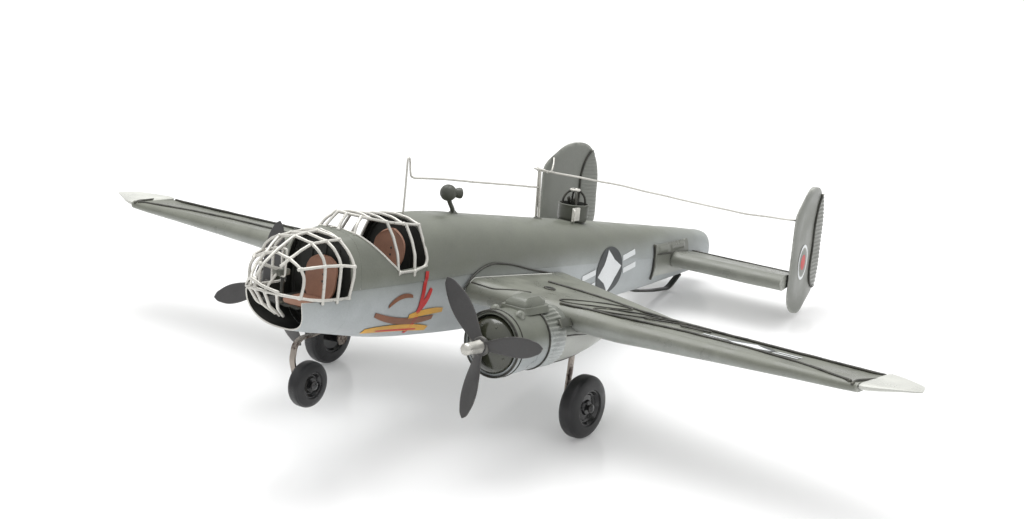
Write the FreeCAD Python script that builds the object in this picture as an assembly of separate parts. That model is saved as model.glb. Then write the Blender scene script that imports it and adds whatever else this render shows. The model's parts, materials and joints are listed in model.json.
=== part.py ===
# Twin-engine propeller aeroplane, a display model folded and soldered from sheet and wire.
#
# Airframe datum while modelling: y = 0 at the main axle, z = 0 at the bottom of the main wheels,
# nose towards -Y, port side towards +X, +Z up. The finished model is tipped nose up until the
# elbow of the tail skid touches the floor, and is then centred over the origin in plan.
import FreeCAD
import Part
import math
import os

V = FreeCAD.Vector

# sheet and wire
sheet = 0.8
wire_r = 0.65
thin_wire_r = 0.5
solder = 1.18          # solder blob radius over wire radius

# fuselage stations: y, half width, belly z, top z
stations = [
    (-104.0, 20.0, 47.0, 94.0),
    (-75.0, 21.5, 42.0, 96.5),
    (-35.0, 22.0, 38.5, 97.0),
    (25.0, 21.0, 37.0, 91.0),
    (90.0, 18.5, 37.5, 84.0),
    (150.0, 15.5, 40.0, 77.3),
    (200.0, 12.0, 44.0, 71.5),
    (226.0, 10.0, 46.5, 68.2),
]
section_power = 2.7
seam_front = 71.0
seam_rear = 60.0
tub_rim_z = 66.0
tub_stations = [(-146.0, 7.0, 61.0, 71.0), (-136.0, 15.5, 54.5, 80.5), (-120.0, 18.5, 50.0, 83.0),
                (-104.0, 20.0, 47.0, 94.0)]

# wing: half span, root and tip leading and trailing edges
wing_root_x = 20.5
wing_tip_x = 224.0
tip_corner_x = 249.0
wing_root = (-24.0, 62.0, 62.0, 12.5)     # leading y, trailing y, chord-line z, thickness
wing_mid = (-11.0, 42.0, 57.0, 11.5)
wing_tip = (-10.0, 24.0, 59.5, 4.0)
wing_mid_x = 100.0

# engine
engine_x = 66.2
engine_z = 50.0
cowl_front_y = -58.0
cowl_rear_y = -27.0
flaps_rear_y = -15.0
cowl_r = 15.5
cowl_rear_r = 14.6
flap_ribs = 40
nacelle_end_y = 34.0
prop_y = -66.0
prop_r = 35.0
blade_thick = 1.1
blade_wide = 9.6
blade_phase = {"port": -40.0, "starboard": 20.0}
shaft_r = 1.2
fit_gap = 0.06
spinner_r = 2.9
spinner_front_y = -78.5

# wheels
track_half = 81.0
leg_stand_off = 4.0    # length of the hub's inner boss, which keeps the main wheel off its leg
main_r = 15.4
main_wide = 9.5
nose_r = 10.8
nose_wide = 7.6
nose_axle_y = -105.0
nose_axle_z = 22.7
axle_r = 1.3
side_play = 0.35

# tail
stab_half = 79.0
stab_front_y = 176.0
stab_rear_y = 216.0
stab_z = 57.5
stab_thick = 9.0
fin_x = 80.5
fin_mid_y = 211.0
fin_toe = 10.0
fin_thick = 3.0
fin_outline = [(-23, 96), (-8, 107), (6, 108.5), (14, 104), (20, 93), (22, 60), (17, 48.5),
               (-4, 36.8), (-14, 40.5), (-20, 46)]
skid_wide = 3.6
skid_thick = 1.2
skid_elbow_y = 201.5

# dorsal fittings
turret_y = 95.0
drum_r = 8.0
drum_low_z = 83.6
drum_tall = 8.6
ball_r = 3.9
ball_centre = (0.0, -14.5, 105.3)
mast_top_z = 124.5

# stance
nose_up = 9.8


def tube(points, radius):
    """Stiff wire through the points, with a solder blob or bend at every inner point."""
    solids = []
    for a, b in zip(points[:-1], points[1:]):
        start = V(*a)
        run = V(*b) - start
        solids.append(Part.makeCylinder(radius, run.Length, start, run))
    for p in points[1:-1]:
        solids.append(Part.makeSphere(radius * solder, V(*p)))
    return fuse(solids)


def prism(start, end, radius):
    """Eight-sided bar with the same cross-section area as a round one."""
    run = end - start
    across = run.cross(V(0, 0, 1)) if abs(run.z) < 0.9 * run.Length else run.cross(V(1, 0, 0))
    across.normalize()
    over = run.cross(across).normalize()
    reach = radius * 1.054
    ring = []
    for k in range(9):
        turn = math.radians(22.5 + 45 * k)
        ring.append(start + across * (reach * math.cos(turn)) + over * (reach * math.sin(turn)))
    return Part.Face(Part.makePolygon(ring[:8] + ring[:1])).extrude(run)


def knot(centre, radius):
    """Twenty-faced solder blob."""
    gold = (1 + math.sqrt(5)) / 2
    size = radius / math.sqrt(1 + gold * gold)
    corners = []
    for a in (1, -1):
        for b in (gold, -gold):
            for x, y, z in ((0, a, b), (a, b, 0), (b, 0, a)):
                corners.append(centre + V(x, y, z) * size)
    faces = []
    for i, a in enumerate(corners):
        for j, b in enumerate(corners[:i]):
            for c in corners[:j]:
                if max((a - b).Length, (b - c).Length, (a - c).Length) < size * 2.02:
                    faces.append(Part.Face(Part.makePolygon([a, b, c, a])))
    solid = Part.makeSolid(Part.makeShell(faces))
    if solid.Volume < 0:
        solid.reverse()
    return solid


def rod(points, radius):
    """Flat-sided wire through the points, for frames with many joints."""
    solids = [prism(V(*a), V(*b), radius) for a, b in zip(points[:-1], points[1:])]
    solids += [knot(V(*p), radius * solder * 1.12) for p in points[1:-1]]
    return fuse(solids)


def floor_z(y):
    """Height of the floor below the airframe datum at y, once the model stands on it."""
    angle = math.radians(nose_up)
    return main_r + (y * math.sin(angle) - main_r) / math.cos(angle)


def fuse(solids):
    if len(solids) == 1:
        return solids[0]
    return solids[0].multiFuse(solids[1:])


def mirrored(points):
    return [(-x, y, z) for x, y, z in points]


def mirror_shape(shape):
    return shape.mirror(V(0, 0, 0), V(1, 0, 0))


def box(low, high):
    size = [b - a for a, b in zip(low, high)]
    return Part.makeBox(*size, V(*low))


def strip(path, x_low, x_high, thick):
    """Flat strip bent in the y-z plane: the path is its inner face, thickened to one side."""
    pieces = []
    for (y0, z0), (y1, z1) in zip(path[:-1], path[1:]):
        run = V(0, y1 - y0, z1 - z0)
        side = V(0, -run.z, run.y).normalize() * (thick / 2)
        reach = run.normalize() * (thick * 0.3)
        a = V(x_low, y0, z0) - reach
        b = V(x_low, y1, z1) + reach
        face = Part.Face(Part.makePolygon([a - side, b - side, b + side, a + side, a - side]))
        pieces.append(face.extrude(V(x_high - x_low, 0, 0)))
    return fuse(pieces)


def curve(points):
    spline = Part.BSplineCurve()
    spline.interpolate(points)
    return spline.toShape()


def section_edge(y, half, low, high, seam, upper):
    """Superellipse arc from the port seam to the starboard seam, over the top or under the belly."""
    mid = (low + high) / 2
    rise = (high - low) / 2
    ratio = max(-0.98, min(0.98, (seam - mid) / rise))
    start = math.copysign(math.asin(abs(ratio) ** (section_power / 2)), ratio)
    end = math.pi - start
    if not upper:
        end = -math.pi - start
    points = []
    for i in range(17):
        t = start + (end - start) * i / 16
        x = half * math.copysign(abs(math.cos(t)) ** (2 / section_power), math.cos(t))
        z = mid + rise * math.copysign(abs(math.sin(t)) ** (2 / section_power), math.sin(t))
        points.append(V(x, y, z))
    return curve(points)


def half_shell(rows, seam_at, upper):
    """Loft of C-shaped sheet sections along the fuselage."""
    wires = []
    for y, half, low, high in rows:
        outer = section_edge(y, half, low, high, seam_at(y), upper)
        inner = section_edge(y, half - sheet, low + sheet, high - sheet, seam_at(y), upper)
        lip_a = Part.makeLine(outer.Vertexes[0].Point, inner.Vertexes[0].Point)
        lip_b = Part.makeLine(outer.Vertexes[-1].Point, inner.Vertexes[-1].Point)
        wires.append(Part.Wire(Part.__sortEdges__([outer, lip_b, inner, lip_a])))
    return Part.makeLoft(wires, True, False)


def seam_z(y):
    share = max(0.0, min(1.0, (y + 20) / 200))
    return seam_front + (seam_rear - seam_front) * share


def station(y):
    """Half width, belly z and top z of the fuselage at y."""
    for a, b in zip(stations[:-1], stations[1:]):
        if a[0] <= y <= b[0]:
            share = (y - a[0]) / (b[0] - a[0])
            return [p + (q - p) * share for p, q in zip(a[1:], b[1:])]
    return list(stations[-1][1:])


def cross_plate(y, thick, shrink):
    """Plate that fills the fuselage section at y, shrunk clear of the skin."""
    half, low, high = station(y)
    rim = []
    for upper in (True, False):
        rim.append(section_edge(y, half - shrink, low + shrink, high - shrink,
                                (low + high) / 2, upper))
    wire = Part.Wire(Part.__sortEdges__(rim))
    return Part.Face(wire).extrude(V(0, thick, 0))


def cockpit_opening():
    """Prism that clears the upper shell under the cockpit glazing."""
    side = [(-93, 120), (-93, 95.5), (-84, 88), (-70, 75.4), (-52, 77), (-52, 120)]
    points = [V(-30, y, z) for y, z in side]
    return Part.Face(Part.makePolygon(points + points[:1])).extrude(V(60, 0, 0))


def fuselage_upper_shell():
    shell = half_shell(stations, seam_z, True)
    return shell.cut(cockpit_opening())


def fuselage_lower_shell():
    return half_shell(stations, seam_z, False)


def nose_tub():
    """Chin tub under the nose glazing: the section's lower half, rising to a blunt front."""
    return half_shell(tub_stations, lambda y: tub_rim_z, False)


def tail_end_cap():
    return cross_plate(226.0, sheet, 0.0)


def nose_bulkhead():
    return cross_plate(-100.0, sheet, 1.0)


def cockpit_bulkhead():
    return cross_plate(-49.0, sheet, 1.0)


def cabin_floor():
    front = box((-11.5, -134.0, 62.0), (11.5, -100.3, 62.8))
    rear = box((-17.5, -98.9, 62.0), (17.5, -49.3, 62.8))
    return Part.makeCompound([front, rear])


def nose_cage():
    runs = []
    lower = [(19.2, -104.75, 66.6), (18.9, -136, 69.5), (10.5, -146.5, 73), (0, -149.5, 75.6)]
    middle = [(20, -104.75, 79.8), (16.8, -133, 81), (9, -144, 80.2), (0, -147, 81.5)]
    longeron = [(12, -104.75, 91.6), (8.5, -118, 90.4), (6.5, -131, 84.2), (5, -146, 81)]
    for side in (1, -1):
        flip = mirrored if side < 0 else list
        runs.append(flip([(19.2, -104.75, 66.6), (20.3, -104.75, 79.8), (12, -104.75, 91.6),
                          (0, -104.75, 94.8)]))
        for y, top in ((-112.5, (9.8, 91)), (-121.5, (8, 89))):
            low_z = 66.6 + (-104.75 - y) * 0.092
            runs.append(flip([(19.1, y, low_z), (19.0, y, 80.2), (top[0], y, top[1])]))
        runs.append(flip([(18.7, -134, 69.4), (18.2, -134, 75.5), (16.6, -133, 81),
                          (6.5, -131, 84.2)]))
        runs.append(flip(longeron))
        runs.append(flip(middle))
        runs.append(flip(lower))
        runs.append(flip([(12, -104.75, 91.6), (0, -112.5, 92.6)]))
        for x in (3.5, 8.5):
            runs.append(flip([(x, -148.3 + 0.25 * x, 74.6), (x * 0.9, -144.5 + 0.4 * x, 64.5)]))
    for y, x, z in ((-112.5, 9.8, 91.0), (-121.5, 8.0, 89.0), (-131.0, 6.5, 84.2)):
        runs.append([(x, y, z), (-x, y, z)])
    return fuse([rod(run, wire_r) for run in runs])


def cockpit_cage():
    runs = []
    for side in (1, -1):
        flip = mirrored if side < 0 else list
        runs.append(flip([(9.5, -87, 100.6), (14.2, -53, 96.2)]))
        runs.append(flip([(9.5, -87, 100.6), (8.5, -92.5, 95.4), (16.5, -83, 88.5),
                          (20.6, -71, 76.2), (21.2, -52.6, 77.6), (20.3, -52.6, 88),
                          (14.2, -53, 96.2)]))
        runs.append(flip([(12.3, -67, 98), (20.3, -69, 87), (20.9, -69.5, 76.3)]))
        runs.append(flip([(13.3, -60, 97.1), (20.5, -61, 87), (21.1, -61.5, 77)]))
    for y, x, z in ((-87, 9.5, 100.6), (-78.5, 10.7, 99.5), (-70, 11.9, 98.4), (-61.5, 13.0, 97.3),
                    (-53, 14.2, 96.2)):
        runs.append([(x, y, z), (0, y, z + 1.6), (-x, y, z)])
    runs.append([(0, -87, 102.2), (0, -93, 96.6)])
    runs.append([(8.5, -92.5, 95.4), (-8.5, -92.5, 95.4)])
    return fuse([rod(run, wire_r) for run in runs]).cut(fuselage_upper_shell())


def seat(x, y, pan_z, wide, tall, deep, lean):
    """Sheet seat: a flat pan and a leaf-shaped back folded up from it."""
    pan = box((x - wide / 2, y - deep, pan_z), (x + wide / 2, y + 0.8, pan_z + 1.0))
    rows = [(0.0, 0.42), (0.3, 0.5), (0.65, 0.5), (0.88, 0.34), (1.0, 0.16)]
    outline = [V(x + wide * half, y + lean * tall * up, pan_z + tall * up) for up, half in rows]
    outline += [V(x - wide * half, y + lean * tall * up, pan_z + tall * up)
                for up, half in reversed(rows)]
    back = Part.Face(Part.makePolygon(outline + outline[:1])).extrude(V(0, 1.0, 0))
    return pan.fuse(back)


def bombardier_seat():
    return seat(1.5, -116.0, 62.8, 17.0, 20.0, 13.0, 0.1)


def pilot_seats():
    return Part.makeCompound([seat(side * 9.0, -60.0, 70.8, 13.5, 19.0, 11.0, 0.1)
                              .fuse(box((side * 9 - 2, -70, 62.8), (side * 9 + 2, -61, 71.2)))
                              for side in (1, -1)])


def nose_gun():
    barrel = Part.makeCylinder(0.8, 15.0, V(-2.0, -129.0, 79.0), V(0, -1, 0.12))
    block = box((-4.2, -134, 76.6), (0.2, -122, 81.4))
    post = tube([(-2, -131.6, 62.8), (-2, -131.6, 77.2)], 0.9)
    return fuse([barrel, block, post])


def antenna_mast_wire():
    wire = tube([(0, -47.7, 94.0), (0, -48.0, mast_top_z), (0, -46.2, 123.6), (0, -45.0, 115.6),
                 (0, -41.5, 114.2), (0, 5.0, 109.6), (0, 60.9, 103.4)], thin_wire_r)
    return wire.cut(fuselage_form()).cut(antenna_post())


def antenna_post():
    legs = [tube([(side * 0.9, 62.6, 84.0), (side * 0.4, 60.4, 112.6)], thin_wire_r)
            for side in (1, -1)]
    cross = tube([(-3.2, 60.4, 112.8), (3.2, 60.4, 112.8)], thin_wire_r)
    return fuse(legs + [cross]).cut(fuselage_form())


def port_antenna_lead():
    wire = rod([(2.4, 60.6, 112.6), (24, 92, 108.5), (50, 133, 101), (66, 160, 95.5),
                 (84.4, 189.6, 91.5)], thin_wire_r)
    return wire.cut(antenna_post()).cut(fin_face(fin_x, fin_mid_y, 0.0))


def starboard_antenna_lead():
    wire = rod([(-2.4, 60.6, 112.6), (-24, 92, 108.5), (-50, 133, 101), (-72, 172, 93.5),
                 (-78.4, 186, 92.6), (-82.8, 192.3, 99.0)], thin_wire_r)
    return wire.cut(antenna_post()).cut(fin_face(-fin_x, fin_mid_y, 0.0))


def beacon_ball():
    stalk = tube([(0, -9.6, 91.0), (0, -10.6, 97.5), (0, -13.8, 101.5)], 1.0)
    ball = Part.makeSphere(ball_r, V(*ball_centre))
    stub = Part.makeCylinder(2.4, 6.4, V(*ball_centre), V(0.5, 0.86, 0))
    return fuse([stalk, ball, stub]).cut(fuselage_form())


def turret_drum():
    """Open drum rolled from a strip, on a small floor plate with a folded tab."""
    outer = Part.makeCylinder(drum_r, drum_tall, V(0, turret_y, drum_low_z))
    inner = Part.makeCylinder(drum_r - sheet, drum_tall, V(0, turret_y, drum_low_z + sheet))
    tab = box((6.6, 84.6, 85.0), (7.4, 90.5, 91.4))
    foot = Part.makeCylinder(2.4, 6.2, V(0, turret_y, drum_low_z - 5.4))
    return fuse([outer.cut(inner), tab, foot]).cut(fuselage_form())


def turret_hoops():
    runs = []
    for turn in range(4):
        angle = math.radians(45 + 90 * turn)
        c, s = math.cos(angle), math.sin(angle)
        runs.append([(reach * c, turret_y + reach * s, z)
                     for reach, z in ((6.4, 84.9), (6.2, 94), (4.4, 98), (1.6, 99.8))])
    crown = Part.makeCylinder(2.6, 1.1, V(0, turret_y, 99.3))
    return fuse([tube(run, 0.55) for run in runs] + [crown])


def turret_guns():
    guns = [tube([(side * 1.9, 96.5, 84.9), (side * 1.9, 92.5, 95.5)], 0.8) for side in (1, -1)]
    return fuse(guns + [box((-2.6, 94.4, 84.6), (2.6, 98.2, 87.6))])


def foil(x, lead, trail, z, thick, inset):
    """Closed wing section at x: a round leading edge that tapers to the trailing edge."""
    chord = trail - lead
    nose_r = thick * 0.46
    points = []
    count = 12
    for i in range(count + 1):
        share = (i / count) ** 1.6
        rise = thick / 2 * (1 - share) ** 0.8 * min(1.0, math.sqrt(max(0.0, share * chord / nose_r)))
        points.append((lead + share * chord, rise))
    upper = [V(x, y, z + max(rise - inset, 0.05) + 0.2) for y, rise in points]
    lower = [V(x, y, z - max(rise - inset, 0.05) - 0.2) for y, rise in points]
    lower[0] = upper[0] = V(x, lead + inset, z)
    upper[-1] = V(x, trail - 3 * inset, z + 0.25)
    lower[-1] = V(x, trail - 3 * inset, z - 0.25)
    edges = [curve(upper), Part.makeLine(upper[-1], lower[-1]), curve(list(reversed(lower)))]
    return Part.Wire(edges)


def wing_row(x):
    """Leading y, trailing y, chord-line z and thickness of the wing at x."""
    knots = [(wing_root_x, wing_root), (wing_mid_x, wing_mid), (wing_tip_x, wing_tip)]
    for (xa, a), (xb, b) in zip(knots[:-1], knots[1:]):
        if x <= xb:
            share = (x - xa) / (xb - xa)
            return [p + (q - p) * share for p, q in zip(a, b)]
    return list(wing_tip)


def port_wing():
    xs = (wing_root_x, wing_mid_x, wing_tip_x)
    outer = Part.makeLoft([foil(x, *wing_row(x), 0.0) for x in xs], True, True)
    inner = Part.makeLoft([foil(x, *wing_row(x), sheet) for x in xs], True, True)
    return outer.cut(inner).cut(nacelle_space()).cut(fuselage_form())


def nacelle_space():
    """Room for the nacelle and cowl flaps where they pass under and in front of the wing."""
    drum = Part.makeCylinder(cowl_rear_r + 0.6, 50.0, V(engine_x, flaps_rear_y - 49.9, engine_z),
                             V(0, 1, 0))
    return drum.fuse(nacelle_solid(0.05))


def port_wing_tip():
    """Raked tip plate, level with the wing's chord line."""
    lead, trail, z, thick = wing_tip
    top = [(wing_tip_x, lead, z), (wing_tip_x + 6, lead + 1.5, z), (tip_corner_x, 2.0, z + 1.4),
           (tip_corner_x - 4, 13.5, z + 1.2), (wing_tip_x + 8, trail - 3, z + 0.6),
           (wing_tip_x, trail, z)]
    points = [V(*p) for p in top]
    fan = []
    low = V(0, 0, -thick / 2)
    for a, b in zip(points[1:-1], points[2:]):
        tri = [points[0], a, b]
        face = Part.Face(Part.makePolygon([p - low * 0.5 for p in tri + tri[:1]]))
        fan.append(face.extrude(low))
    return fuse(fan)


def port_wing_root_plate():
    """Arched flange that stands against the fuselage side over the wing root."""
    arch = [(-27, 62), (-18, 69), (-4, 73), (8, 72), (31, 67), (53, 62), (62, 58.5)]
    points = [V(18.0, y, z) for y, z in arch]
    plate = Part.Face(Part.makePolygon(points + points[:1])).extrude(V(5.0, 0, 0))
    plate = plate.cut(fuselage_form()).cut(foil_block())
    return max(plate.Solids, key=lambda solid: solid.Volume)


def fuselage_form():
    """The fuselage's outer form as one solid, used to trim what stands against it."""
    wires = []
    for y, half, low, high in stations:
        edges = [section_edge(y, half, low, high, (low + high) / 2, up) for up in (True, False)]
        wires.append(Part.Wire(Part.__sortEdges__(edges)))
    return Part.makeLoft(wires, True, False)


def foil_block():
    """The wing's outer form as one solid."""
    xs = (wing_root_x, wing_mid_x, wing_tip_x)
    return Part.makeLoft([foil(x, *wing_row(x), 0.0) for x in xs], True, True)


def skin_z(x, share):
    """Height of the wing's upper skin at span x and chord share."""
    lead, trail, z, thick = wing_row(x)
    nose = thick * 0.46
    chord = trail - lead
    rise = thick / 2 * (1 - share) ** 0.8 * min(1.0, math.sqrt(share * chord / nose))
    return V(x, lead + share * chord, z + rise + 0.2)


def wing_panel_wires():
    """Raised wire lines laid on the upper skin of both wings."""
    lines = []
    for start, end, share in ((26, 216, 0.3), (88, 216, 0.72)):
        count = 7
        xs = [start + (end - start) * i / count for i in range(count + 1)]
        lines.append([skin_z(x, share) for x in xs])
    runs = [tube([(p.x, p.y, p.z + 0.15) for p in line], 0.45) for line in lines]
    port = Part.makeCompound(runs).cut(foil_block())
    return Part.makeCompound([port, mirror_shape(port)])


def nacelle_r(y):
    """Radius of the nacelle barrel, falling away behind the cowl flaps."""
    share = max(0.0, min(1.0, (y - flaps_rear_y) / (nacelle_end_y - flaps_rear_y)))
    return 14.2 * (1 - share ** 1.7) + 1.2 * share


def nacelle_solid(grow):
    wires = []
    count = 7
    for i in range(count + 1):
        y = flaps_rear_y + (nacelle_end_y - flaps_rear_y) * i / count
        radius = nacelle_r(y) + grow
        centre = V(engine_x, y, engine_z - 7.0 * (i / count) ** 1.5)
        circle = Part.makeCircle(radius, centre, V(0, 1, 0))
        wires.append(Part.Wire([circle]))
    return Part.makeLoft(wires, True, False)


def port_nacelle():
    """Rolled sheet body, open at the front where the cowl flaps close it."""
    return nacelle_solid(0.0).cut(nacelle_solid(-sheet))


def port_cowling():
    outer = Part.makeCone(cowl_r, cowl_rear_r, cowl_rear_y - cowl_front_y,
                          V(engine_x, cowl_front_y, engine_z), V(0, 1, 0))
    inner = Part.makeCone(cowl_r - 1.4, cowl_rear_r - 1.0, cowl_rear_y - cowl_front_y,
                          V(engine_x, cowl_front_y, engine_z), V(0, 1, 0))
    lip = Part.makeTorus(cowl_r - 0.75, 0.85, V(engine_x, cowl_front_y, engine_z), V(0, 1, 0))
    return outer.cut(inner).fuse(lip)


def port_cowl_flaps():
    """Fluted band between the cowling and the nacelle."""
    points = []
    for i in range(2 * flap_ribs):
        angle = math.pi * i / flap_ribs
        radius = cowl_rear_r + (0.35 if i % 2 else -0.25)
        points.append(V(engine_x + radius * math.cos(angle), cowl_rear_y,
                        engine_z + radius * math.sin(angle)))
    band = Part.Face(Part.makePolygon(points + points[:1]))
    band = band.extrude(V(0, flaps_rear_y - cowl_rear_y, 0))
    hollow = Part.makeCylinder(cowl_rear_r - 1.4, flaps_rear_y - cowl_rear_y - sheet,
                               V(engine_x, cowl_rear_y, engine_z), V(0, 1, 0))
    return band.cut(hollow)


def port_engine_dome():
    """Pressed crankcase dome with the shaft's bearing in its centre."""
    outer = dome_solid(13.4, 15.0, 0.0)
    inner = dome_solid(12.2, 13.8, 1.0)
    bush = Part.makeCylinder(3.2, 6.0, V(engine_x, cowl_front_y - 4.6, engine_z), V(0, 1, 0))
    bore = Part.makeCylinder(shaft_r + fit_gap, 40.0, V(engine_x, prop_y - 4, engine_z), V(0, 1, 0))
    rim = Part.makeCylinder(14.3, 1.6, V(engine_x, cowl_front_y + 9.4, engine_z), V(0, 1, 0))
    rim = rim.cut(Part.makeCylinder(12.6, 9.0, V(engine_x, cowl_front_y + 5, engine_z), V(0, 1, 0)))
    return fuse([outer.cut(inner), bush, rim]).cut(bore).cut(port_cowling())


def dome_solid(radius, depth, back):
    tip_y = cowl_front_y - 4.0 + back
    points = []
    for i in range(7):
        angle = math.pi / 2 * i / 6
        points.append(V(engine_x + radius * math.sin(angle),
                        tip_y + depth * (1 - math.cos(angle)), engine_z))
    edge = curve(points)
    axis_back = V(engine_x, tip_y + depth, engine_z)
    profile = Part.Wire([edge, Part.makeLine(points[-1], axis_back),
                         Part.makeLine(axis_back, points[0])])
    return Part.Face(profile).revolve(V(engine_x, 0, engine_z), V(0, 1, 0), 360)


def port_intake_box():
    """Folded scoop on top of the cowling, and two small pressed blisters beside it."""
    top_z = engine_z + 19.0
    foot_z = engine_z + 13.6
    foot = [(-7, -44), (7, -44), (8.5, -40), (8.5, -22), (6, -18), (-6, -18), (-8.5, -22), (-8.5, -40)]
    wires = []
    for z, grow in ((foot_z, 1.0), (top_z - 1.5, 0.9), (top_z, 0.68)):
        ring = [V(engine_x + x * grow, -31 + (y + 31) * grow, z) for x, y in foot]
        wires.append(Part.makePolygon(ring + ring[:1]))
    scoop = Part.makeLoft(wires, True, True)
    drum = Part.makeCylinder(cowl_r + 0.05, 70.0, V(engine_x, -70, engine_z), V(0, 1, 0))
    blisters = []
    for side in (1, -1):
        angle = math.radians(35)
        centre = V(engine_x + side * (cowl_r - 0.3) * math.sin(angle), -50,
                   engine_z + (cowl_r - 0.3) * math.cos(angle))
        blisters.append(Part.makeSphere(2.2, centre).cut(drum))
    return Part.makeCompound([scoop.cut(drum).cut(foil_block())] + blisters)


def blade(turn):
    """One leaf-shaped blade, cut flat, set at a pitch and turned about the shaft."""
    rows = [(2.0, 2.9), (8.0, 3.4), (16.0, blade_wide / 2), (23.0, blade_wide / 2),
            (30.0, 3.5), (33.5, 2.0), (prop_r, 0.0)]
    right = [V(half, 0, up) for up, half in rows]
    left = [V(-half, 0, up) for up, half in reversed(rows[:-1])]
    edges = [curve(right), curve([right[-1]] + left), Part.makeLine(left[-1], right[0])]
    leaf = Part.Face(Part.Wire(edges)).extrude(V(0, blade_thick, 0))
    leaf.translate(V(0, -blade_thick / 2, 0))
    leaf.rotate(V(0, 0, 0), V(0, 0, 1), 12)
    leaf.rotate(V(0, 0, 0), V(0, 1, 0), turn)
    leaf.translate(V(engine_x, prop_y, engine_z))
    return leaf


def propeller(phase):
    blades = [blade(phase + 120 * i) for i in range(3)]
    hub = Part.makeCylinder(4.2, 2.0, V(engine_x, prop_y - 1.0, engine_z), V(0, 1, 0))
    bore = Part.makeCylinder(shaft_r, 8.0, V(engine_x, prop_y - 4, engine_z), V(0, 1, 0))
    return fuse(blades + [hub]).cut(bore)


def port_prop_shaft():
    """Spinner, shaft and the collar that keeps it behind the dome's bearing."""
    spinner_long = prop_y - 1.0 - spinner_front_y
    spinner = Part.makeCylinder(spinner_r, spinner_long, V(engine_x, spinner_front_y, engine_z),
                                V(0, 1, 0))
    spinner = spinner.makeChamfer(0.9, [spinner.Edges[0]])
    shaft = Part.makeCylinder(shaft_r, 16.0, V(engine_x, prop_y - 1.2, engine_z), V(0, 1, 0))
    collar = Part.makeCylinder(2.4, 1.8, V(engine_x, cowl_front_y + 1.9, engine_z), V(0, 1, 0))
    return fuse([spinner, shaft, collar])


def tyre(x, y, z, radius, wide):
    hub_r = radius * 0.56
    half = wide / 2
    corner = wide * 0.3
    outer = Part.makeCylinder(radius, wide, V(x - half, y, z), V(1, 0, 0))
    outer = outer.makeFillet(corner, [e for e in outer.Edges if e.Curve.TypeId == "Part::GeomCircle"])
    return outer.cut(Part.makeCylinder(hub_r, wide + 2, V(x - half - 1, y, z), V(1, 0, 0)))


def wheel_hub(x, y, z, radius, wide, stand_off=0.0):
    """Dished disc with a stepped boss, drilled to run on its axle pin."""
    hub_r = radius * 0.56
    half = wide / 2
    disc = Part.makeCylinder(hub_r, wide * 0.5, V(x - wide * 0.25, y, z), V(1, 0, 0))
    ring = Part.makeCylinder(hub_r, half - 0.9, V(x, y, z), V(1, 0, 0))
    ring = ring.cut(Part.makeCylinder(hub_r - 1.2, wide, V(x - 1, y, z), V(1, 0, 0)))
    boss = Part.makeCylinder(3.0, half - 0.4, V(x, y, z), V(1, 0, 0))
    inner_boss = Part.makeCylinder(2.8, half + stand_off, V(x - half - stand_off, y, z), V(1, 0, 0))
    bore = Part.makeCylinder(axle_r + fit_gap, wide * 2, V(x - wide, y, z), V(1, 0, 0))
    return fuse([disc, ring, boss, inner_boss]).cut(bore)


def axle_pin(x, y, z, wide, inner_reach):
    """Riveted pin: a head outboard of the hub, and a shank through the leg."""
    half = wide / 2
    shank = Part.makeCylinder(axle_r, 2 * half + side_play + inner_reach,
                              V(x - half - side_play - inner_reach, y, z), V(1, 0, 0))
    head = Part.makeCylinder(2.1, 1.6, V(x + half - 0.4 + side_play, y, z), V(1, 0, 0))
    head = head.makeChamfer(0.5, [head.Edges[0]])
    return shank.fuse(head)


def port_main_leg():
    inner_x = track_half - main_wide / 2 - leg_stand_off - side_play - 1.1
    leg = box((inner_x, -1.9, main_r - 3.2), (inner_x + 1.1, 1.9, 38.0))
    leg = leg.cut(nacelle_solid(0.0))
    return leg.cut(Part.makeCylinder(axle_r, 9.0, V(inner_x - 3, 0, main_r), V(1, 0, 0)))


def nose_leg():
    outer_x = -(nose_wide / 2 + side_play)
    path = [(-88, 45.8), (-98, 43.4), (-108.0, 41.6), (-110.0, 35.0), (-106.2, nose_axle_z - 2.4)]
    leg = strip(path, outer_x - 3.4, outer_x, 1.1)
    lug = box((outer_x - 1.1, nose_axle_y - 3.0, nose_axle_z - 3.0),
              (outer_x, nose_axle_y + 2.4, nose_axle_z + 3.0))
    bore = Part.makeCylinder(axle_r, 9.0, V(outer_x - 6, nose_axle_y, nose_axle_z), V(1, 0, 0))
    return fuse([leg, lug]).cut(bore).cut(fuselage_form()).cut(nose_tub())


def stabiliser():
    """Hollow folded tailplane from fin to fin, notched round the fuselage."""
    def row(x, inset):
        return foil(x, stab_front_y, stab_rear_y, stab_z, stab_thick, inset)
    outer = Part.makeLoft([row(x, 0.0) for x in (-stab_half, stab_half)], True, True)
    inner = Part.makeLoft([row(x, sheet) for x in (-stab_half, stab_half)], True, True)
    plates = []
    skin = outer.cut(inner).cut(fuselage_form())
    for side in (1, -1):
        plates.append(fin_face(side * fin_x, fin_mid_y, 0.05))
    return skin.cut(fuse(plates))


def fin_face(x, mid_y, grow, hollow=False):
    """Fin plate, toed so that its rear edge stands inboard."""
    points = [V(-fin_thick / 2 - grow, y, z) for y, z in fin_outline]
    plate = Part.Face(Part.makePolygon(points + points[:1])).extrude(V(fin_thick + 2 * grow, 0, 0))
    if hollow:
        points = [V(-fin_thick / 2 + sheet, y * 0.93, 72 + (z - 72) * 0.96) for y, z in fin_outline]
        core = Part.Face(Part.makePolygon(points + points[:1]))
        plate = plate.cut(core.extrude(V(fin_thick - 2 * sheet, 0, 0)))
    plate.rotate(V(0, 0, 0), V(0, 0, 1), math.copysign(fin_toe, x))
    plate.translate(V(x, mid_y, 0))
    return plate


def port_fin():
    return fin_face(fin_x, fin_mid_y, 0.0, True)


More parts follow.
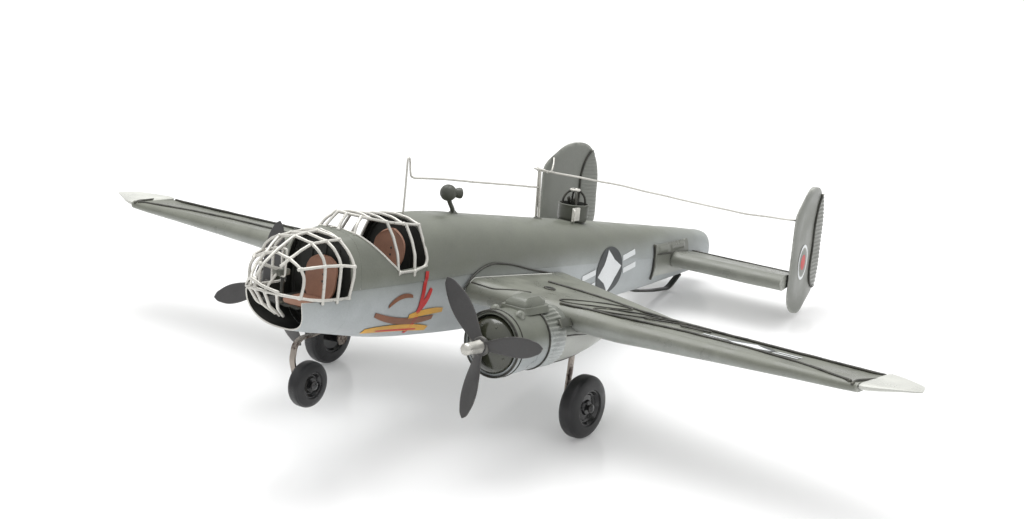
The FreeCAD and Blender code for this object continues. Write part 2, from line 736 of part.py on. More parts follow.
def port_rudder():
    """Raised plates along the rear of the fin, one on each face."""
    outline = [(13, 103.6), (19, 93), (21, 60), (16.6, 49.5), (8, 52), (5.5, 62), (6, 90), (9, 98)]
    pads = []
    for low, high in ((fin_thick / 2, fin_thick / 2 + 1.0), (-fin_thick / 2 - 1.0, -fin_thick / 2)):
        points = [V(low, y, z) for y, z in outline]
        pad = Part.Face(Part.makePolygon(points + points[:1])).extrude(V(high - low, 0, 0))
        pad.rotate(V(0, 0, 0), V(0, 0, 1), fin_toe)
        pad.translate(V(fin_x, fin_mid_y, 0))
        pads.append(pad)
    return Part.makeCompound(pads).cut(stab_block())


def stab_block():
    wires = [foil(x, stab_front_y, stab_rear_y, stab_z, stab_thick, 0.0)
             for x in (-stab_half, stab_half)]
    return Part.makeLoft(wires, True, True)


def stabiliser_root_plates():
    """Folded flange plate on each side of the fuselage round the tailplane root."""
    plates = []
    for side in (1, -1):
        x_low = 10.0 if side > 0 else -18.0
        plates.append(box((x_low, 158, 50.5), (x_low + 8, 197, 66.5)))
    skin = widened_form(1.08).cut(widened_form(1.01))
    return Part.makeCompound([skin.common(plate).cut(stab_block()) for plate in plates])


def widened_form(factor):
    matrix = FreeCAD.Matrix()
    matrix.scale(factor, 1.0, 1.0)
    return fuselage_form().transformGeometry(matrix)


def tail_skid():
    elbow_z = floor_z(skid_elbow_y) + skid_thick * 0.56
    path = [(146, 42.0), (164, elbow_z + 2.4), (skid_elbow_y, elbow_z),
            (skid_elbow_y + 11, elbow_z + 7.6)]
    return strip(path, -skid_wide / 2, skid_wide / 2, skid_thick).cut(fuselage_form())


def build():
    parts = {
        "fuselage_upper_shell": fuselage_upper_shell(),
        "fuselage_lower_shell": fuselage_lower_shell(),
        "nose_tub": nose_tub(),
        "tail_end_cap": tail_end_cap(),
        "nose_bulkhead": nose_bulkhead(),
        "cockpit_bulkhead": cockpit_bulkhead(),
        "cabin_floor": cabin_floor(),
        "nose_cage": nose_cage(),
        "cockpit_cage": cockpit_cage(),
        "bombardier_seat": bombardier_seat(),
        "pilot_seats": pilot_seats(),
        "nose_gun": nose_gun(),
        "antenna_mast_wire": antenna_mast_wire(),
        "antenna_post": antenna_post(),
        "port_antenna_lead": port_antenna_lead(),
        "starboard_antenna_lead": starboard_antenna_lead(),
        "beacon_ball": beacon_ball(),
        "turret_drum": turret_drum(),
        "turret_hoops": turret_hoops(),
        "turret_guns": turret_guns(),
        "wing_panel_wires": wing_panel_wires(),
        "stabiliser": stabiliser(),
        "stabiliser_root_plates": stabiliser_root_plates(),
        "tail_skid": tail_skid(),
        "nose_leg": nose_leg(),
        "nose_tyre": tyre(0, nose_axle_y, nose_axle_z, nose_r, nose_wide),
        "nose_wheel_hub": wheel_hub(0, nose_axle_y, nose_axle_z, nose_r, nose_wide),
        "nose_axle_pin": axle_pin(0, nose_axle_y, nose_axle_z, nose_wide, 1.3),
    }
    pairs = {
        "wing": port_wing(),
        "wing_tip": port_wing_tip(),
        "wing_root_plate": port_wing_root_plate(),
        "nacelle": port_nacelle(),
        "cowling": port_cowling(),
        "cowl_flaps": port_cowl_flaps(),
        "engine_dome": port_engine_dome(),
        "intake_box": port_intake_box(),
        "prop_shaft": port_prop_shaft(),
        "main_leg": port_main_leg(),
        "fin": port_fin(),
        "rudder": port_rudder(),
        "tyre": tyre(track_half, 0, main_r, main_r, main_wide),
        "wheel_hub": wheel_hub(track_half, 0, main_r, main_r, main_wide, leg_stand_off),
        "axle_pin": axle_pin(track_half, 0, main_r, main_wide, leg_stand_off + 1.3),
    }
    for name, shape in pairs.items():
        parts["port_" + name] = shape
        parts["starboard_" + name] = mirror_shape(shape)
    parts["port_propeller"] = propeller(blade_phase["port"])
    parts["starboard_propeller"] = mirror_shape(propeller(-blade_phase["starboard"]))
    return parts


def tipped(point):
    """Place of an airframe point once the model stands on its main wheels and skid."""
    angle = math.radians(nose_up)
    up = point.z - main_r
    return V(point.x, point.y * math.cos(angle) + up * math.sin(angle),
             up * math.cos(angle) - point.y * math.sin(angle) + main_r)


def main():
    os.makedirs("parts", exist_ok=True)
    parts = build()
    for shape in parts.values():
        shape.rotate(V(0, 0, main_r), V(1, 0, 0), -nose_up)
    corners = Part.makeCompound(list(parts.values())).tessellate(0.05)[0]
    ys = [corner.y for corner in corners]
    zs = [corner.z for corner in corners]
    middle = (min(ys) + max(ys)) / 2
    print("y", round(min(ys), 3), round(max(ys), 3), "z", round(min(zs), 3), round(max(zs), 3))
    for name, shape in parts.items():
        shape.translate(V(0, -middle, 0))
        shape.exportStep("parts/" + name + ".step")
        print(name, len(shape.Solids), round(shape.Volume, 1), shape.isValid())
    print("shift", round(-middle, 4))
    for name, point in (("prop", V(engine_x, prop_y, engine_z)), ("main", V(track_half, 0, main_r)),
                        ("nose", V(0, nose_axle_y, nose_axle_z))):
        place = tipped(point) + V(0, -middle, 0)
        print(name, round(place.x, 3), round(place.y, 3), round(place.z, 3))


main()
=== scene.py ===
import json
import math

import bmesh
import bpy
import numpy as np
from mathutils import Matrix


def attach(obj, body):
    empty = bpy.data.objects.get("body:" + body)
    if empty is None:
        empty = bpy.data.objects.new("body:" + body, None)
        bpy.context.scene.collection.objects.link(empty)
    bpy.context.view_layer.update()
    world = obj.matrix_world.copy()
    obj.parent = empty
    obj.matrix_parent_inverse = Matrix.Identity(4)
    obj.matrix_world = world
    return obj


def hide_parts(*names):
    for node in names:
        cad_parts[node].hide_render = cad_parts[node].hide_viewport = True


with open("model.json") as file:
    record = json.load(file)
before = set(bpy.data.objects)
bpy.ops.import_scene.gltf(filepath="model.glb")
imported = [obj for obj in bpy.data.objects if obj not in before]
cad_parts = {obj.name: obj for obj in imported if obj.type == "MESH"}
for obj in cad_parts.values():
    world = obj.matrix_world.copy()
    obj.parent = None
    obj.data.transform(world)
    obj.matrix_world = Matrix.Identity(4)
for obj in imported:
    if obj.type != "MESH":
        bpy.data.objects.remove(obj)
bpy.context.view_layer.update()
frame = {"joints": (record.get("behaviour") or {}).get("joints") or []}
joints = {joint["name"]: joint for joint in frame["joints"]}

# The aeroplane is laid out in its own datum, in millimetres: y is 0 at the main axle, the nose
# points to -Y, port is +X, and z is 0 under the main wheels. It stands tail down, so every
# point is tipped about the axle before it goes into a mesh.
axle = np.array(joints["port_wheel_roll"]["pos_m"]) * 1000
spinAxis = joints["port_prop_spin"]["axis"]
tipAngle = math.atan2(-spinAxis[2], spinAxis[1])
tipCos = math.cos(tipAngle)
tipSin = math.sin(tipAngle)


def stand(points):
    # y and z turn about the axle by the tip angle, and millimetres become metres
    p = np.asarray(points, float)
    up = p[..., 2] - axle[2]
    y = p[..., 1] * tipCos + up * tipSin + axle[1]
    z = up * tipCos - p[..., 1] * tipSin + axle[2]
    return np.stack([p[..., 0], y, z], -1) / 1000


def datumOf(point):
    # the inverse of stand, for a place that the frame gives in metres
    x, y, z = [value * 1000 for value in point]
    y = y - axle[1]
    z = z - axle[2]
    return np.array([x, y * tipCos - z * tipSin, y * tipSin + z * tipCos + axle[2]])


def tint(red, green, blue):
    # screen colour 0 to 255 to the linear value that a shader takes
    screen = np.array([red, green, blue]) / 255
    linear = np.where(screen > 0.04045, ((screen + 0.055) / 1.055) ** 2.4, screen / 12.92)
    return (*[float(value) for value in linear], 1.0)


def eased(x, knots, column):
    # smooth run through the knots: a cubic between each two, with slopes from their neighbours
    table = np.array(knots, float)
    xs = table[:, 0]
    ys = table[:, column]
    slope = np.gradient(ys, xs)
    i = np.clip(np.searchsorted(xs, x) - 1, 0, len(xs) - 2)
    span = xs[i + 1] - xs[i]
    t = np.clip((x - xs[i]) / span, 0, 1)
    start = (2 * t ** 3 - 3 * t ** 2 + 1) * ys[i] + (t ** 3 - 2 * t ** 2 + t) * span * slope[i]
    return start + (3 * t ** 2 - 2 * t ** 3) * ys[i + 1] + (t ** 3 - t ** 2) * span * slope[i + 1]


def step(x, low, high):
    # 0 below low, 1 above high, and an S curve between
    t = np.clip((x - low) / (high - low), 0, 1)
    return t * t * (3 - 2 * t)


def dents(points, size, depth, seed):
    # hand-worked unevenness: six sine waves in seeded directions, about size long, added up
    rng = np.random.default_rng(seed)
    total = 0
    for _ in range(6):
        way = unit(rng.normal(size=3))
        pace = 2 * np.pi / size * rng.uniform(0.6, 1.5)
        total = total + np.sin(points @ way * pace + rng.uniform(0, 2 * np.pi))
    return depth * total[..., None] / 6


def mirrored(points):
    # the same points with x reversed
    return np.asarray(points, float) * np.array([-1, 1, 1])


def unit(vectors):
    # each vector over its own length
    return vectors / np.linalg.norm(vectors, axis=-1, keepdims=True)


def roundTurn(count):
    # one row of evenly spaced angles, right round
    return np.arange(count)[None, :] * 2 * np.pi / count


def cosSin(degrees):
    # the cosine and sine of an angle in degrees
    angle = math.radians(degrees)
    return math.cos(angle), math.sin(angle)


def signedPower(value, power):
    # raises the size of a value to a power and keeps its sign
    return np.sign(value) * np.abs(value) ** power


handed = ((1, "port"), (-1, "starboard"))


# ---- forms: each is (points, faces, finish of each face) in datum millimetres

def quads(rows, cols, wrap=False):
    # the faces of a grid, and wrap joins its last column to its first
    r = np.arange(rows - 1)[:, None]
    c = np.arange(cols if wrap else cols - 1)[None, :]
    n = (c + 1) % cols
    cells = [r * cols + c, r * cols + n, (r + 1) * cols + n, (r + 1) * cols + c]
    return np.stack(cells, -1).reshape(-1, 4)


def closedForm(rings, finish=0):
    # a skin over closed rings, one after another, with a flat cap on the first and the last
    rows, cols = rings.shape[:2]
    faces = quads(rows, cols, True).tolist()
    faces += [list(range(cols))[::-1], list(range((rows - 1) * cols, rows * cols))]
    return rings.reshape(-1, 3), faces, [finish] * len(faces)


def ringForm(grid):
    # a skin closed both along and across, like a tyre
    rows, cols = grid.shape[:2]
    index = np.arange(rows * cols).reshape(rows, cols)
    index = np.vstack([index, index[:1]])
    ahead = np.roll(index, -1, 1)
    cells = np.stack([index[:-1], ahead[:-1], ahead[1:], index[1:]], -1).reshape(-1, 4).tolist()
    return grid.reshape(-1, 3), cells, [0] * len(cells)


def gridNormals(grid, wrap=False):
    # the cross product of the steps along and across the grid
    along = np.gradient(grid, axis=0)
    across = np.roll(grid, -1, 1) - np.roll(grid, 1, 1) if wrap else np.gradient(grid, axis=1)
    normal = np.cross(along, across)
    return normal / np.maximum(np.linalg.norm(normal, axis=-1, keepdims=True), 1e-9)


def sheetForm(grid, thick, wrap=False, finish=0, inner=0, rim=0, centre=None):
    # sheet metal: the grid is its outer face, the inner face is moved in along the normals by
    # the thickness, and strips close the open edges
    normal = gridNormals(grid, wrap)
    middle = grid.reshape(-1, 3).mean(0) if centre is None else np.array(centre, float)
    if np.sum(normal * (grid - middle)) < 0:
        normal = -normal
    rows, cols = grid.shape[:2]
    count = rows * cols
    outerCells = quads(rows, cols, wrap)
    index = np.arange(count).reshape(rows, cols)
    if wrap:
        loops = [np.append(index[0], index[0, 0]), np.append(index[-1], index[-1, 0])]
    else:
        loops = [np.concatenate([index[0], index[1:, -1], index[-1, -2::-1], index[-2::-1, 0]])]
    rims = [np.stack([a[:-1], a[1:], a[1:] + count, a[:-1] + count], -1) for a in loops]
    cells = [outerCells, outerCells[:, ::-1] + count] + rims
    kinds = [finish] * len(outerCells) + [inner] * len(outerCells) + [rim] * sum(map(len, rims))
    points = np.concatenate([grid.reshape(-1, 3), (grid - normal * thick).reshape(-1, 3)])
    return points, np.concatenate(cells).tolist(), kinds


def bentPath(points, bend=2.0, pace=0.8):
    # straight runs sampled evenly, then averaged over a short length, which rounds each bend
    p = np.array(points, float)
    runs = np.r_[0, np.cumsum(np.linalg.norm(np.diff(p, axis=0), axis=1))]
    count = max(6, int(runs[-1] / pace))
    s = np.linspace(0, runs[-1], count)
    line = np.stack([np.interp(s, runs, p[:, k]) for k in range(3)], -1)
    reach = min(int(bend / pace), count - 2)
    if reach < 1:
        return line
    padded = np.concatenate([2 * line[0] - line[reach:0:-1], line,
                             2 * line[-1] - line[-2:-reach - 2:-1]])
    kernel = np.hanning(2 * reach + 3)[1:-1]
    kernel = kernel / kernel.sum()
    return np.stack([np.convolve(padded[:, k], kernel, "valid") for k in range(3)], -1)


def sweep(path, profile, turn=None):
    # carries a profile of (side, up) pairs along a path, kept square to its direction
    tangent = unit(np.gradient(path, axis=0))
    if turn is None:
        choices = np.array([[1, 0, 0], [0, 1, 0], [0, 0, 1], [0.6, 0.5, 0.62], [-0.6, 0.5, 0.62]])
        turn = choices[np.argmin(np.abs(tangent @ choices.T).max(0))]
    side = unit(np.cross(tangent, turn))
    up = np.cross(side, tangent)
    profile = np.broadcast_to(profile, (len(path), *np.shape(profile)[-2:]))
    offset = profile[..., :1] * side[:, None] + profile[..., 1:] * up[:, None]
    return path[:, None] + offset


def circle(sides):
    # points at radius 1: the cosine and sine of even angles
    angle = np.arange(sides) * 2 * np.pi / sides
    return np.stack([np.cos(angle), np.sin(angle)], -1)


def wireForm(points, radius, finish=0, bend=2.0, sides=9, wobble=0.1, seed=1, swell=0.16):
    # stiff wire: a circle along a bent path, thicker where solder runs up its two ends, which
    # are rounded by shrinking the last rings
    path = bentPath(points, bend)
    away = np.minimum(np.arange(len(path)), np.arange(len(path))[::-1]) * 0.8
    path = path + dents(path, 16, wobble, seed) * np.array([1, 0.6, 1]) * step(away, 0, 5)[:, None]
    girth = 1 + swell * np.exp(-(away / 1.3) ** 2) + dents(path, 3.5, 0.07, seed + 9)[:, 0]
    first = unit(path[0] - path[1])
    last = unit(path[-1] - path[-2])
    reach = np.array([0.95, 0.75, 0.4])[:, None] * radius
    path = np.concatenate([path[0] + first * reach, path, path[-1] + last * reach[::-1]])
    ends = np.array([0.25, 0.66, 0.92])
    girth = np.concatenate([ends * girth[0], girth, ends[::-1] * girth[-1]])
    return closedForm(sweep(path, circle(sides) * radius * girth[:, None, None]), finish)


def ballGrid(rows, cols, cut):
    # a sphere of radius 1 in rows of latitude, flattened a little at each pole
    polar = np.linspace(cut, np.pi - cut, rows)[:, None]
    turn = roundTurn(cols)
    return np.stack([np.sin(polar) * np.cos(turn), np.sin(polar) * np.sin(turn),
                     np.cos(polar) + 0 * turn], -1)


def lump(centre, radius, finish=0, seed=1, squash=(1, 1, 1)):
    # a blob of solder or a small ball: a sphere with low waves on it
    ball = ballGrid(8, 11, 0.06) * radius * np.array(squash)
    return closedForm(ball * (1 + dents(ball + seed, radius * 2.4, 0.13, seed)) + centre, finish)


def turned(profile, centre, sides=64, finish=0, along="y"):
    # a lathe form: profile rows are (distance along the axis, radius), swept right round
    rows = np.array(profile, float)
    angle = roundTurn(sides)
    ahead = rows[:, :1] + 0 * angle
    a = rows[:, 1:] * np.cos(angle)
    b = rows[:, 1:] * np.sin(angle)
    order = {"y": [a, ahead, b], "x": [ahead, a, b], "z": [a, b, ahead]}[along]
    return closedForm(np.stack(order, -1) + np.array(centre, float), finish)


def plateForm(outline, halfThick, place, bevel, rings):
    # a flat plate cut to an outline: rings that shrink towards its middle on both faces, with
    # the edge thinned by a bevel, and place lays (u, v, height) into the datum
    edge = np.array(outline, float)
    middle = edge.mean(0)
    scale = np.linspace(0.03, 1, rings) ** 0.7
    spread = np.linalg.norm(edge - middle, axis=1).mean()
    stack = []
    for side, order in ((1, scale), (-1, scale[::-1])):
        for s in order:
            flat = middle + (edge - middle) * s
            drop = bevel * step(s, 1 - bevel * 2.2 / spread, 1)
            height = side * (halfThick - drop)
            stack.append(np.column_stack([flat, np.full(len(flat), height)]))
    return closedForm(place(np.array(stack)))


def roundedOutline(points, radius, count=6):
    # cuts each corner of a polygon by an arc-like curve through its two neighbours
    p = np.array(points, float)
    before = np.roll(p, 1, 0) - p
    after = np.roll(p, -1, 0) - p
    reachA = np.minimum(radius, np.linalg.norm(before, axis=1) * 0.48)[:, None]
    reachB = np.minimum(radius, np.linalg.norm(after, axis=1) * 0.48)[:, None]
    a = p + unit(before) * reachA
    b = p + unit(after) * reachB
    t = np.linspace(0, 1, count)[None, :, None]
    bend = a[:, None] * (1 - t) ** 2 + 2 * p[:, None] * t * (1 - t) + b[:, None] * t ** 2
    return bend.reshape(-1, 2)


def barOutline(halfWide, halfTall, radius, count):
    # a rectangle about 0 with its corners rounded off
    corners = [(-halfWide, -halfTall), (halfWide, -halfTall), (halfWide, halfTall),
               (-halfWide, halfTall)]
    return roundedOutline(corners, radius, count)


def evened(outline, count):
    # the same closed outline with evenly spaced points
    loop = np.vstack([outline, outline[:1]])
    runs = np.r_[0, np.cumsum(np.linalg.norm(np.diff(loop, axis=0), axis=1))]
    s = np.linspace(0, runs[-1], count, endpoint=False)
    return np.stack([np.interp(s, runs, loop[:, k]) for k in range(loop.shape[1])], -1)


def onSide(forms, sign):
    # the forms as made for the port side, or mirrored for the starboard side
    if sign > 0:
        return forms
    return [(mirrored(points), faces, kinds) for points, faces, kinds in forms]


def makePiece(name, forms, finishes, body="root", stands=(), sharp=40, edge=0.0):
    # joins forms into one mesh on a body; edge is the width of a live bevel in millimetres
    points = []
    faces = []
    kinds = []
    base = 0
    for formPoints, formFaces, formKinds in forms:
        points.append(formPoints)
        faces += [[index + base for index in face] for face in formFaces]
        kinds += formKinds
        base += len(formPoints)
    mesh = bpy.data.meshes.new(name)
    mesh.from_pydata(stand(np.concatenate(points)).tolist(), [], faces)
    mesh.polygons.foreach_set("material_index", kinds)
    mesh.update()
    work = bmesh.new()
    work.from_mesh(mesh)
    bmesh.ops.remove_doubles(work, verts=work.verts, dist=2e-6)
    bmesh.ops.recalc_face_normals(work, faces=work.faces)
    work.to_mesh(mesh)
    work.free()
    mesh.polygons.foreach_set("use_smooth", [True] * len(mesh.polygons))
    mesh.set_sharp_from_angle(angle=math.radians(sharp))
    piece = bpy.data.objects.new(name, mesh)
    bpy.context.scene.collection.objects.link(piece)
    for finish in finishes:
        mesh.materials.append(finish)
    if edge:
        bevel = piece.modifiers.new("edges", "BEVEL")
        bevel.width = edge / 1000
        bevel.segments = 2
        bevel.limit_method = "ANGLE"
        bevel.angle_limit = math.radians(50)
    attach(piece, body)
    if stands:
        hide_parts(*stands)
    return piece


# ---- shader groups shared by the finishes

def add(tree, kind, inputs=None, **settings):
    # one shader node: settings go on the node, and inputs are linked or set
    node = tree.nodes.new("ShaderNode" + kind)
    for key, value in settings.items():
        setattr(node, key, value)
    for key, value in (inputs or {}).items():
        if isinstance(value, bpy.types.NodeSocket):
            tree.links.new(value, node.inputs[key])
        else:
            node.inputs[key].default_value = value
    return node


def startGroup(name, inputs, outputs):
    # an empty node group with named sockets
    tree = bpy.data.node_groups.new(name, "ShaderNodeTree")
    for label, kind, value in inputs:
        socket = tree.interface.new_socket(label, in_out="INPUT", socket_type=kind)
        if value is not None:
            socket.default_value = value
    for label, kind in outputs:
        tree.interface.new_socket(label, in_out="OUTPUT", socket_type=kind)
    return tree, tree.nodes.new("NodeGroupInput"), tree.nodes.new("NodeGroupOutput")


def maths(tree, operation, a, b=0.0, clamp=False):
    return add(tree, "Math", {0: a, 1: b}, operation=operation, use_clamp=clamp).outputs[0]


def remap(tree, value, low, high, toLow=0.0, toHigh=1.0):
    # an S curve from one range to another
    node = add(tree, "MapRange", {"Value": value, "From Min": low, "From Max": high,
                                  "To Min": toLow, "To Max": toHigh}, interpolation_type="SMOOTHSTEP")
    return node.outputs[0]


def noise(tree, vector, scale, detail=3.0, rough=0.55):
    node = add(tree, "TexNoise", {"Vector": vector, "Scale": scale, "Detail": detail,
                                  "Roughness": rough})
    return node.outputs["Fac"]


def blend(tree, factor, a, b):
    # a where the factor is 0, and b where it is 1
    return add(tree, "Mix", {0: factor, 6: a, 7: b}, data_type="RGBA").outputs[2]


def makeGrain():
    # fine sprayed grain and slow mottling, both near 0.5
    tree, inn, out = startGroup("paintGrain", [("Vector", "NodeSocketVector", None),
                                               ("Fineness", "NodeSocketFloat", 1400.0)],
                                [("Grain", "NodeSocketFloat"), ("Mottle", "NodeSocketFloat")])
    fine = noise(tree, inn.outputs["Vector"], inn.outputs["Fineness"], 4.0, 0.6)
    slow = noise(tree, inn.outputs["Vector"], 70.0, 4.0, 0.55)
    tree.links.new(fine, out.inputs["Grain"])
    tree.links.new(slow, out.inputs["Mottle"])
    return tree


def makeWear():
    # rubbed edges: where the surface turns sharply outwards, broken up by noise
    tree, inn, out = startGroup("edgeWear", [("Vector", "NodeSocketVector", None),
                                             ("Amount", "NodeSocketFloat", 0.5)],
                                [("Mask", "NodeSocketFloat")])
    point = add(tree, "NewGeometry").outputs["Pointiness"]
    edge = remap(tree, point, 0.53, 0.62)
    patch = remap(tree, noise(tree, inn.outputs["Vector"], 260.0, 5.0, 0.7), 0.35, 0.62)
    mask = maths(tree, "MULTIPLY", edge, patch)
    tree.links.new(maths(tree, "MULTIPLY", mask, inn.outputs["Amount"], True), out.inputs["Mask"])
    return tree


def makeGrimeAndShade():
    # dark wash that settles in the seams, together with painted shade: ambient occlusion darkens the
    # colour where two surfaces meet closely, broken up by noise
    tree, inn, out = startGroup("seamGrimeAndShade", [("Vector", "NodeSocketVector", None),
                                              ("Amount", "NodeSocketFloat", 0.6)],
                                [("Mask", "NodeSocketFloat")])
    near = add(tree, "AmbientOcclusion", {"Distance": 0.0022}, samples=6).outputs["AO"]
    close = remap(tree, near, 0.75, 0.25)
    patch = remap(tree, noise(tree, inn.outputs["Vector"], 420.0, 3.0), 0.2, 0.6, 0.45, 1.0)
    mask = maths(tree, "MULTIPLY", close, patch)
    tree.links.new(maths(tree, "MULTIPLY", mask, inn.outputs["Amount"], True), out.inputs["Mask"])
    return tree


def makeFade():
    # 0 below Low and 1 above High on the airframe, in metres, with a soft sprayed edge that
    # wanders a little
    tree, inn, out = startGroup("sprayFade", [("Vector", "NodeSocketVector", None),
                                              ("Low", "NodeSocketFloat", 0.05),
                                              ("High", "NodeSocketFloat", 0.07),
                                              ("Wander", "NodeSocketFloat", 0.004)],
                                [("Mask", "NodeSocketFloat")])
    back = -np.array([0, axle[1] * tipCos - axle[2] * tipSin,
                      axle[1] * tipSin + axle[2] * tipCos]) / 1000
    back[2] += axle[2] / 1000
    place = add(tree, "Mapping", {"Vector": inn.outputs["Vector"], "Location": back,
                                  "Rotation": (tipAngle, 0, 0)})
    height = add(tree, "SeparateXYZ", {0: place.outputs[0]}).outputs["Z"]
    shift = maths(tree, "SUBTRACT", noise(tree, inn.outputs["Vector"], 45.0, 2.0), 0.5)
    shift = maths(tree, "MULTIPLY", shift, inn.outputs["Wander"])
    value = maths(tree, "ADD", height, shift)
    tree.links.new(remap(tree, value, inn.outputs["Low"], inn.outputs["High"]), out.inputs["Mask"])
    return tree


grainGroup = makeGrain()
wearGroup = makeWear()
# the seam group paints shade as well as grime where surfaces meet closely
grimeAndShadeGroup = makeGrimeAndShade()
fadeGroup = makeFade()


def useGroup(tree, group, inputs):
    node = tree.nodes.new("ShaderNodeGroup")
    node.node_tree = group
    for key, value in inputs.items():
        if isinstance(value, bpy.types.NodeSocket):
            tree.links.new(value, node.inputs[key])
        else:
            node.inputs[key].default_value = value
    return node.outputs


def makeFinish(name, colour, low=None, fade=(50, 70), wander=6, rough=0.45, roughSpread=0.12,
               metallic=0.0, wear=0.0, wearColour=(0.6, 0.6, 0.57, 1), grimeAndShade=0.5,
               grimeAndShadeColour=(0.012, 0.012, 0.01, 1), mottle=0.14, bump=0.12, fineness=1400.0,
               coat=0.0, stain=None, stainAt=(0.55, 0.7), stainScale=180.0):
    # one painted, plated or bare finish: a base colour that may fade to a second one low on the
    # airframe, mottling, patchy stains, grime and painted shade in the seams, rubbed edges, and a fine
    # grain
    material = bpy.data.materials.new(name)
    material.use_nodes = True
    tree = material.node_tree
    shader = tree.nodes["Principled BSDF"]
    place = add(tree, "TexCoord").outputs["Object"]
    grain = useGroup(tree, grainGroup, {"Vector": place, "Fineness": fineness})
    base = add(tree, "RGB").outputs[0]
    base.default_value = colour
    if low is not None:
        mask = useGroup(tree, fadeGroup, {"Vector": place, "Low": fade[0] / 1000,
                                          "High": fade[1] / 1000, "Wander": wander / 1000})
        base = blend(tree, mask["Mask"], low, colour)
    shade = remap(tree, grain["Mottle"], 0.25, 0.75, 1 - mottle, 1 + mottle)
    speck = remap(tree, grain["Grain"], 0.2, 0.8, 0.94, 1.06)
    both = maths(tree, "MULTIPLY", shade, speck)
    base = add(tree, "VectorMath", {0: base, "Scale": both}, operation="SCALE").outputs[0]
    if stain is not None:
        patch = noise(tree, place, stainScale, 6.0, 0.65)
        base = blend(tree, remap(tree, patch, *stainAt), base, stain)
    # seam grime and painted shade: the base darkens where surfaces meet closely, found by ambient
    # occlusion
    if grimeAndShade:
        mask = useGroup(tree, grimeAndShadeGroup, {"Vector": place, "Amount": grimeAndShade})
        base = blend(tree, mask["Mask"], base, grimeAndShadeColour)
    if wear:
        mask = useGroup(tree, wearGroup, {"Vector": place, "Amount": wear})
        base = blend(tree, mask["Mask"], base, wearColour)
    tree.links.new(base, shader.inputs["Base Color"])
    dull = remap(tree, grain["Mottle"], 0.3, 0.7, rough - roughSpread, rough + roughSpread)
    tree.links.new(dull, shader.inputs["Roughness"])
    shader.inputs["Metallic"].default_value = metallic
    shader.inputs["Coat Weight"].default_value = coat
    shader.inputs["Coat Roughness"].default_value = 0.12
    relief = add(tree, "Bump", {"Height": grain["Grain"], "Strength": bump, "Distance": 0.0002})
    tree.links.new(relief.outputs[0], shader.inputs["Normal"])
    return material


palette = {
    "olive": tint(112, 115, 105),
    "pale": tint(172, 177, 178),
    "paleWarm": tint(176, 178, 172),
    "rub": tint(205, 206, 198),
}
hullTopPaint = makeFinish("hullTopPaint", palette["olive"], palette["pale"], (56, 76), wear=0.8,
                          wearColour=palette["rub"], rough=0.42, mottle=0.1)
hullLowPaint = makeFinish("hullLowPaint", palette["olive"], palette["pale"], (58, 84), wear=0.5,
                          wearColour=palette["rub"], rough=0.42, mottle=0.07)
wingPaint = makeFinish("wingPaint", tint(112, 114, 104), tint(150, 153, 148), (55, 60), 3,
                       wear=0.7, wearColour=palette["rub"], rough=0.36, mottle=0.16)
tipPaint = makeFinish("tipPaint", tint(196, 197, 190), wear=0.4, rough=0.34, mottle=0.1)
cowlPaint = makeFinish("cowlPaint", tint(104, 107, 97), palette["pale"], (42, 56), 5, wear=0.8,
                       wearColour=palette["rub"], rough=0.36, grimeAndShade=0.75)
flapPaint = makeFinish("flapPaint", tint(122, 125, 117), tint(186, 190, 189), (46, 60), 4,
                       wear=0.6, wearColour=palette["rub"], rough=0.34, grimeAndShade=0.7)
nacellePaint = makeFinish("nacellePaint", tint(108, 111, 104), palette["paleWarm"], (50, 58), 3,
                          rough=0.4, mottle=0.08)
domePaint = makeFinish("domePaint", tint(52, 54, 42), rough=0.2, roughSpread=0.06, coat=0.6,
                       mottle=0.2, wear=0.3, wearColour=tint(120, 122, 110))
finPaint = makeFinish("finPaint", tint(124, 126, 120), wear=0.7, wearColour=palette["rub"],
                      rough=0.42, mottle=0.08, grimeAndShade=0.7)
tailPaint = makeFinish("tailPaint", tint(120, 122, 114), palette["paleWarm"], (50, 57), 2,
                       wear=0.7, wearColour=palette["rub"], rough=0.36, mottle=0.12, grimeAndShade=0.8)
fittingPaint = makeFinish("fittingPaint", tint(74, 76, 68), wear=0.8, mottle=0.2, rough=0.42,
                          wearColour=tint(150, 150, 140), grimeAndShade=0.7)
darkInterior = makeFinish("darkInterior", tint(36, 37, 33), rough=0.6, grimeAndShade=0.3, mottle=0.3,
                          wear=0.2, wearColour=tint(110, 110, 100))
silverWire = makeFinish("silverWire", tint(205, 203, 196), rough=0.36, metallic=0.35, grimeAndShade=0.8,
                        grimeAndShadeColour=tint(70, 64, 54), mottle=0.12, bump=0.3, fineness=900.0,
                        stain=tint(120, 114, 102), stainAt=(0.62, 0.74), stainScale=300.0)
blackLine = makeFinish("blackLine", tint(38, 38, 34), rough=0.4, wear=0.8, bump=0.3,
                       wearColour=tint(120, 118, 104), grimeAndShade=0.3, fineness=900.0)
seatPaint = makeFinish("seatPaint", tint(152, 112, 92), rough=0.6, grimeAndShade=0.7, wear=0.3,
                       mottle=0.12, grimeAndShadeColour=tint(60, 34, 26), wearColour=tint(210, 170, 150))
propPaint = makeFinish("propPaint", tint(62, 61, 61), rough=0.42, wear=0.9, bump=0.3,
                       wearColour=tint(140, 138, 132), mottle=0.14, fineness=1000.0)
spinnerSilver = makeFinish("spinnerSilver", tint(196, 194, 187), rough=0.32, metallic=0.55,
                           bump=0.5, fineness=520.0, grimeAndShade=0.8, grimeAndShadeColour=tint(70, 66, 58))
legSteel = makeFinish("legSteel", tint(150, 142, 134), rough=0.32, metallic=0.7, grimeAndShade=0.7,
                      stain=tint(62, 44, 36), stainAt=(0.48, 0.62), stainScale=150.0, bump=0.25)
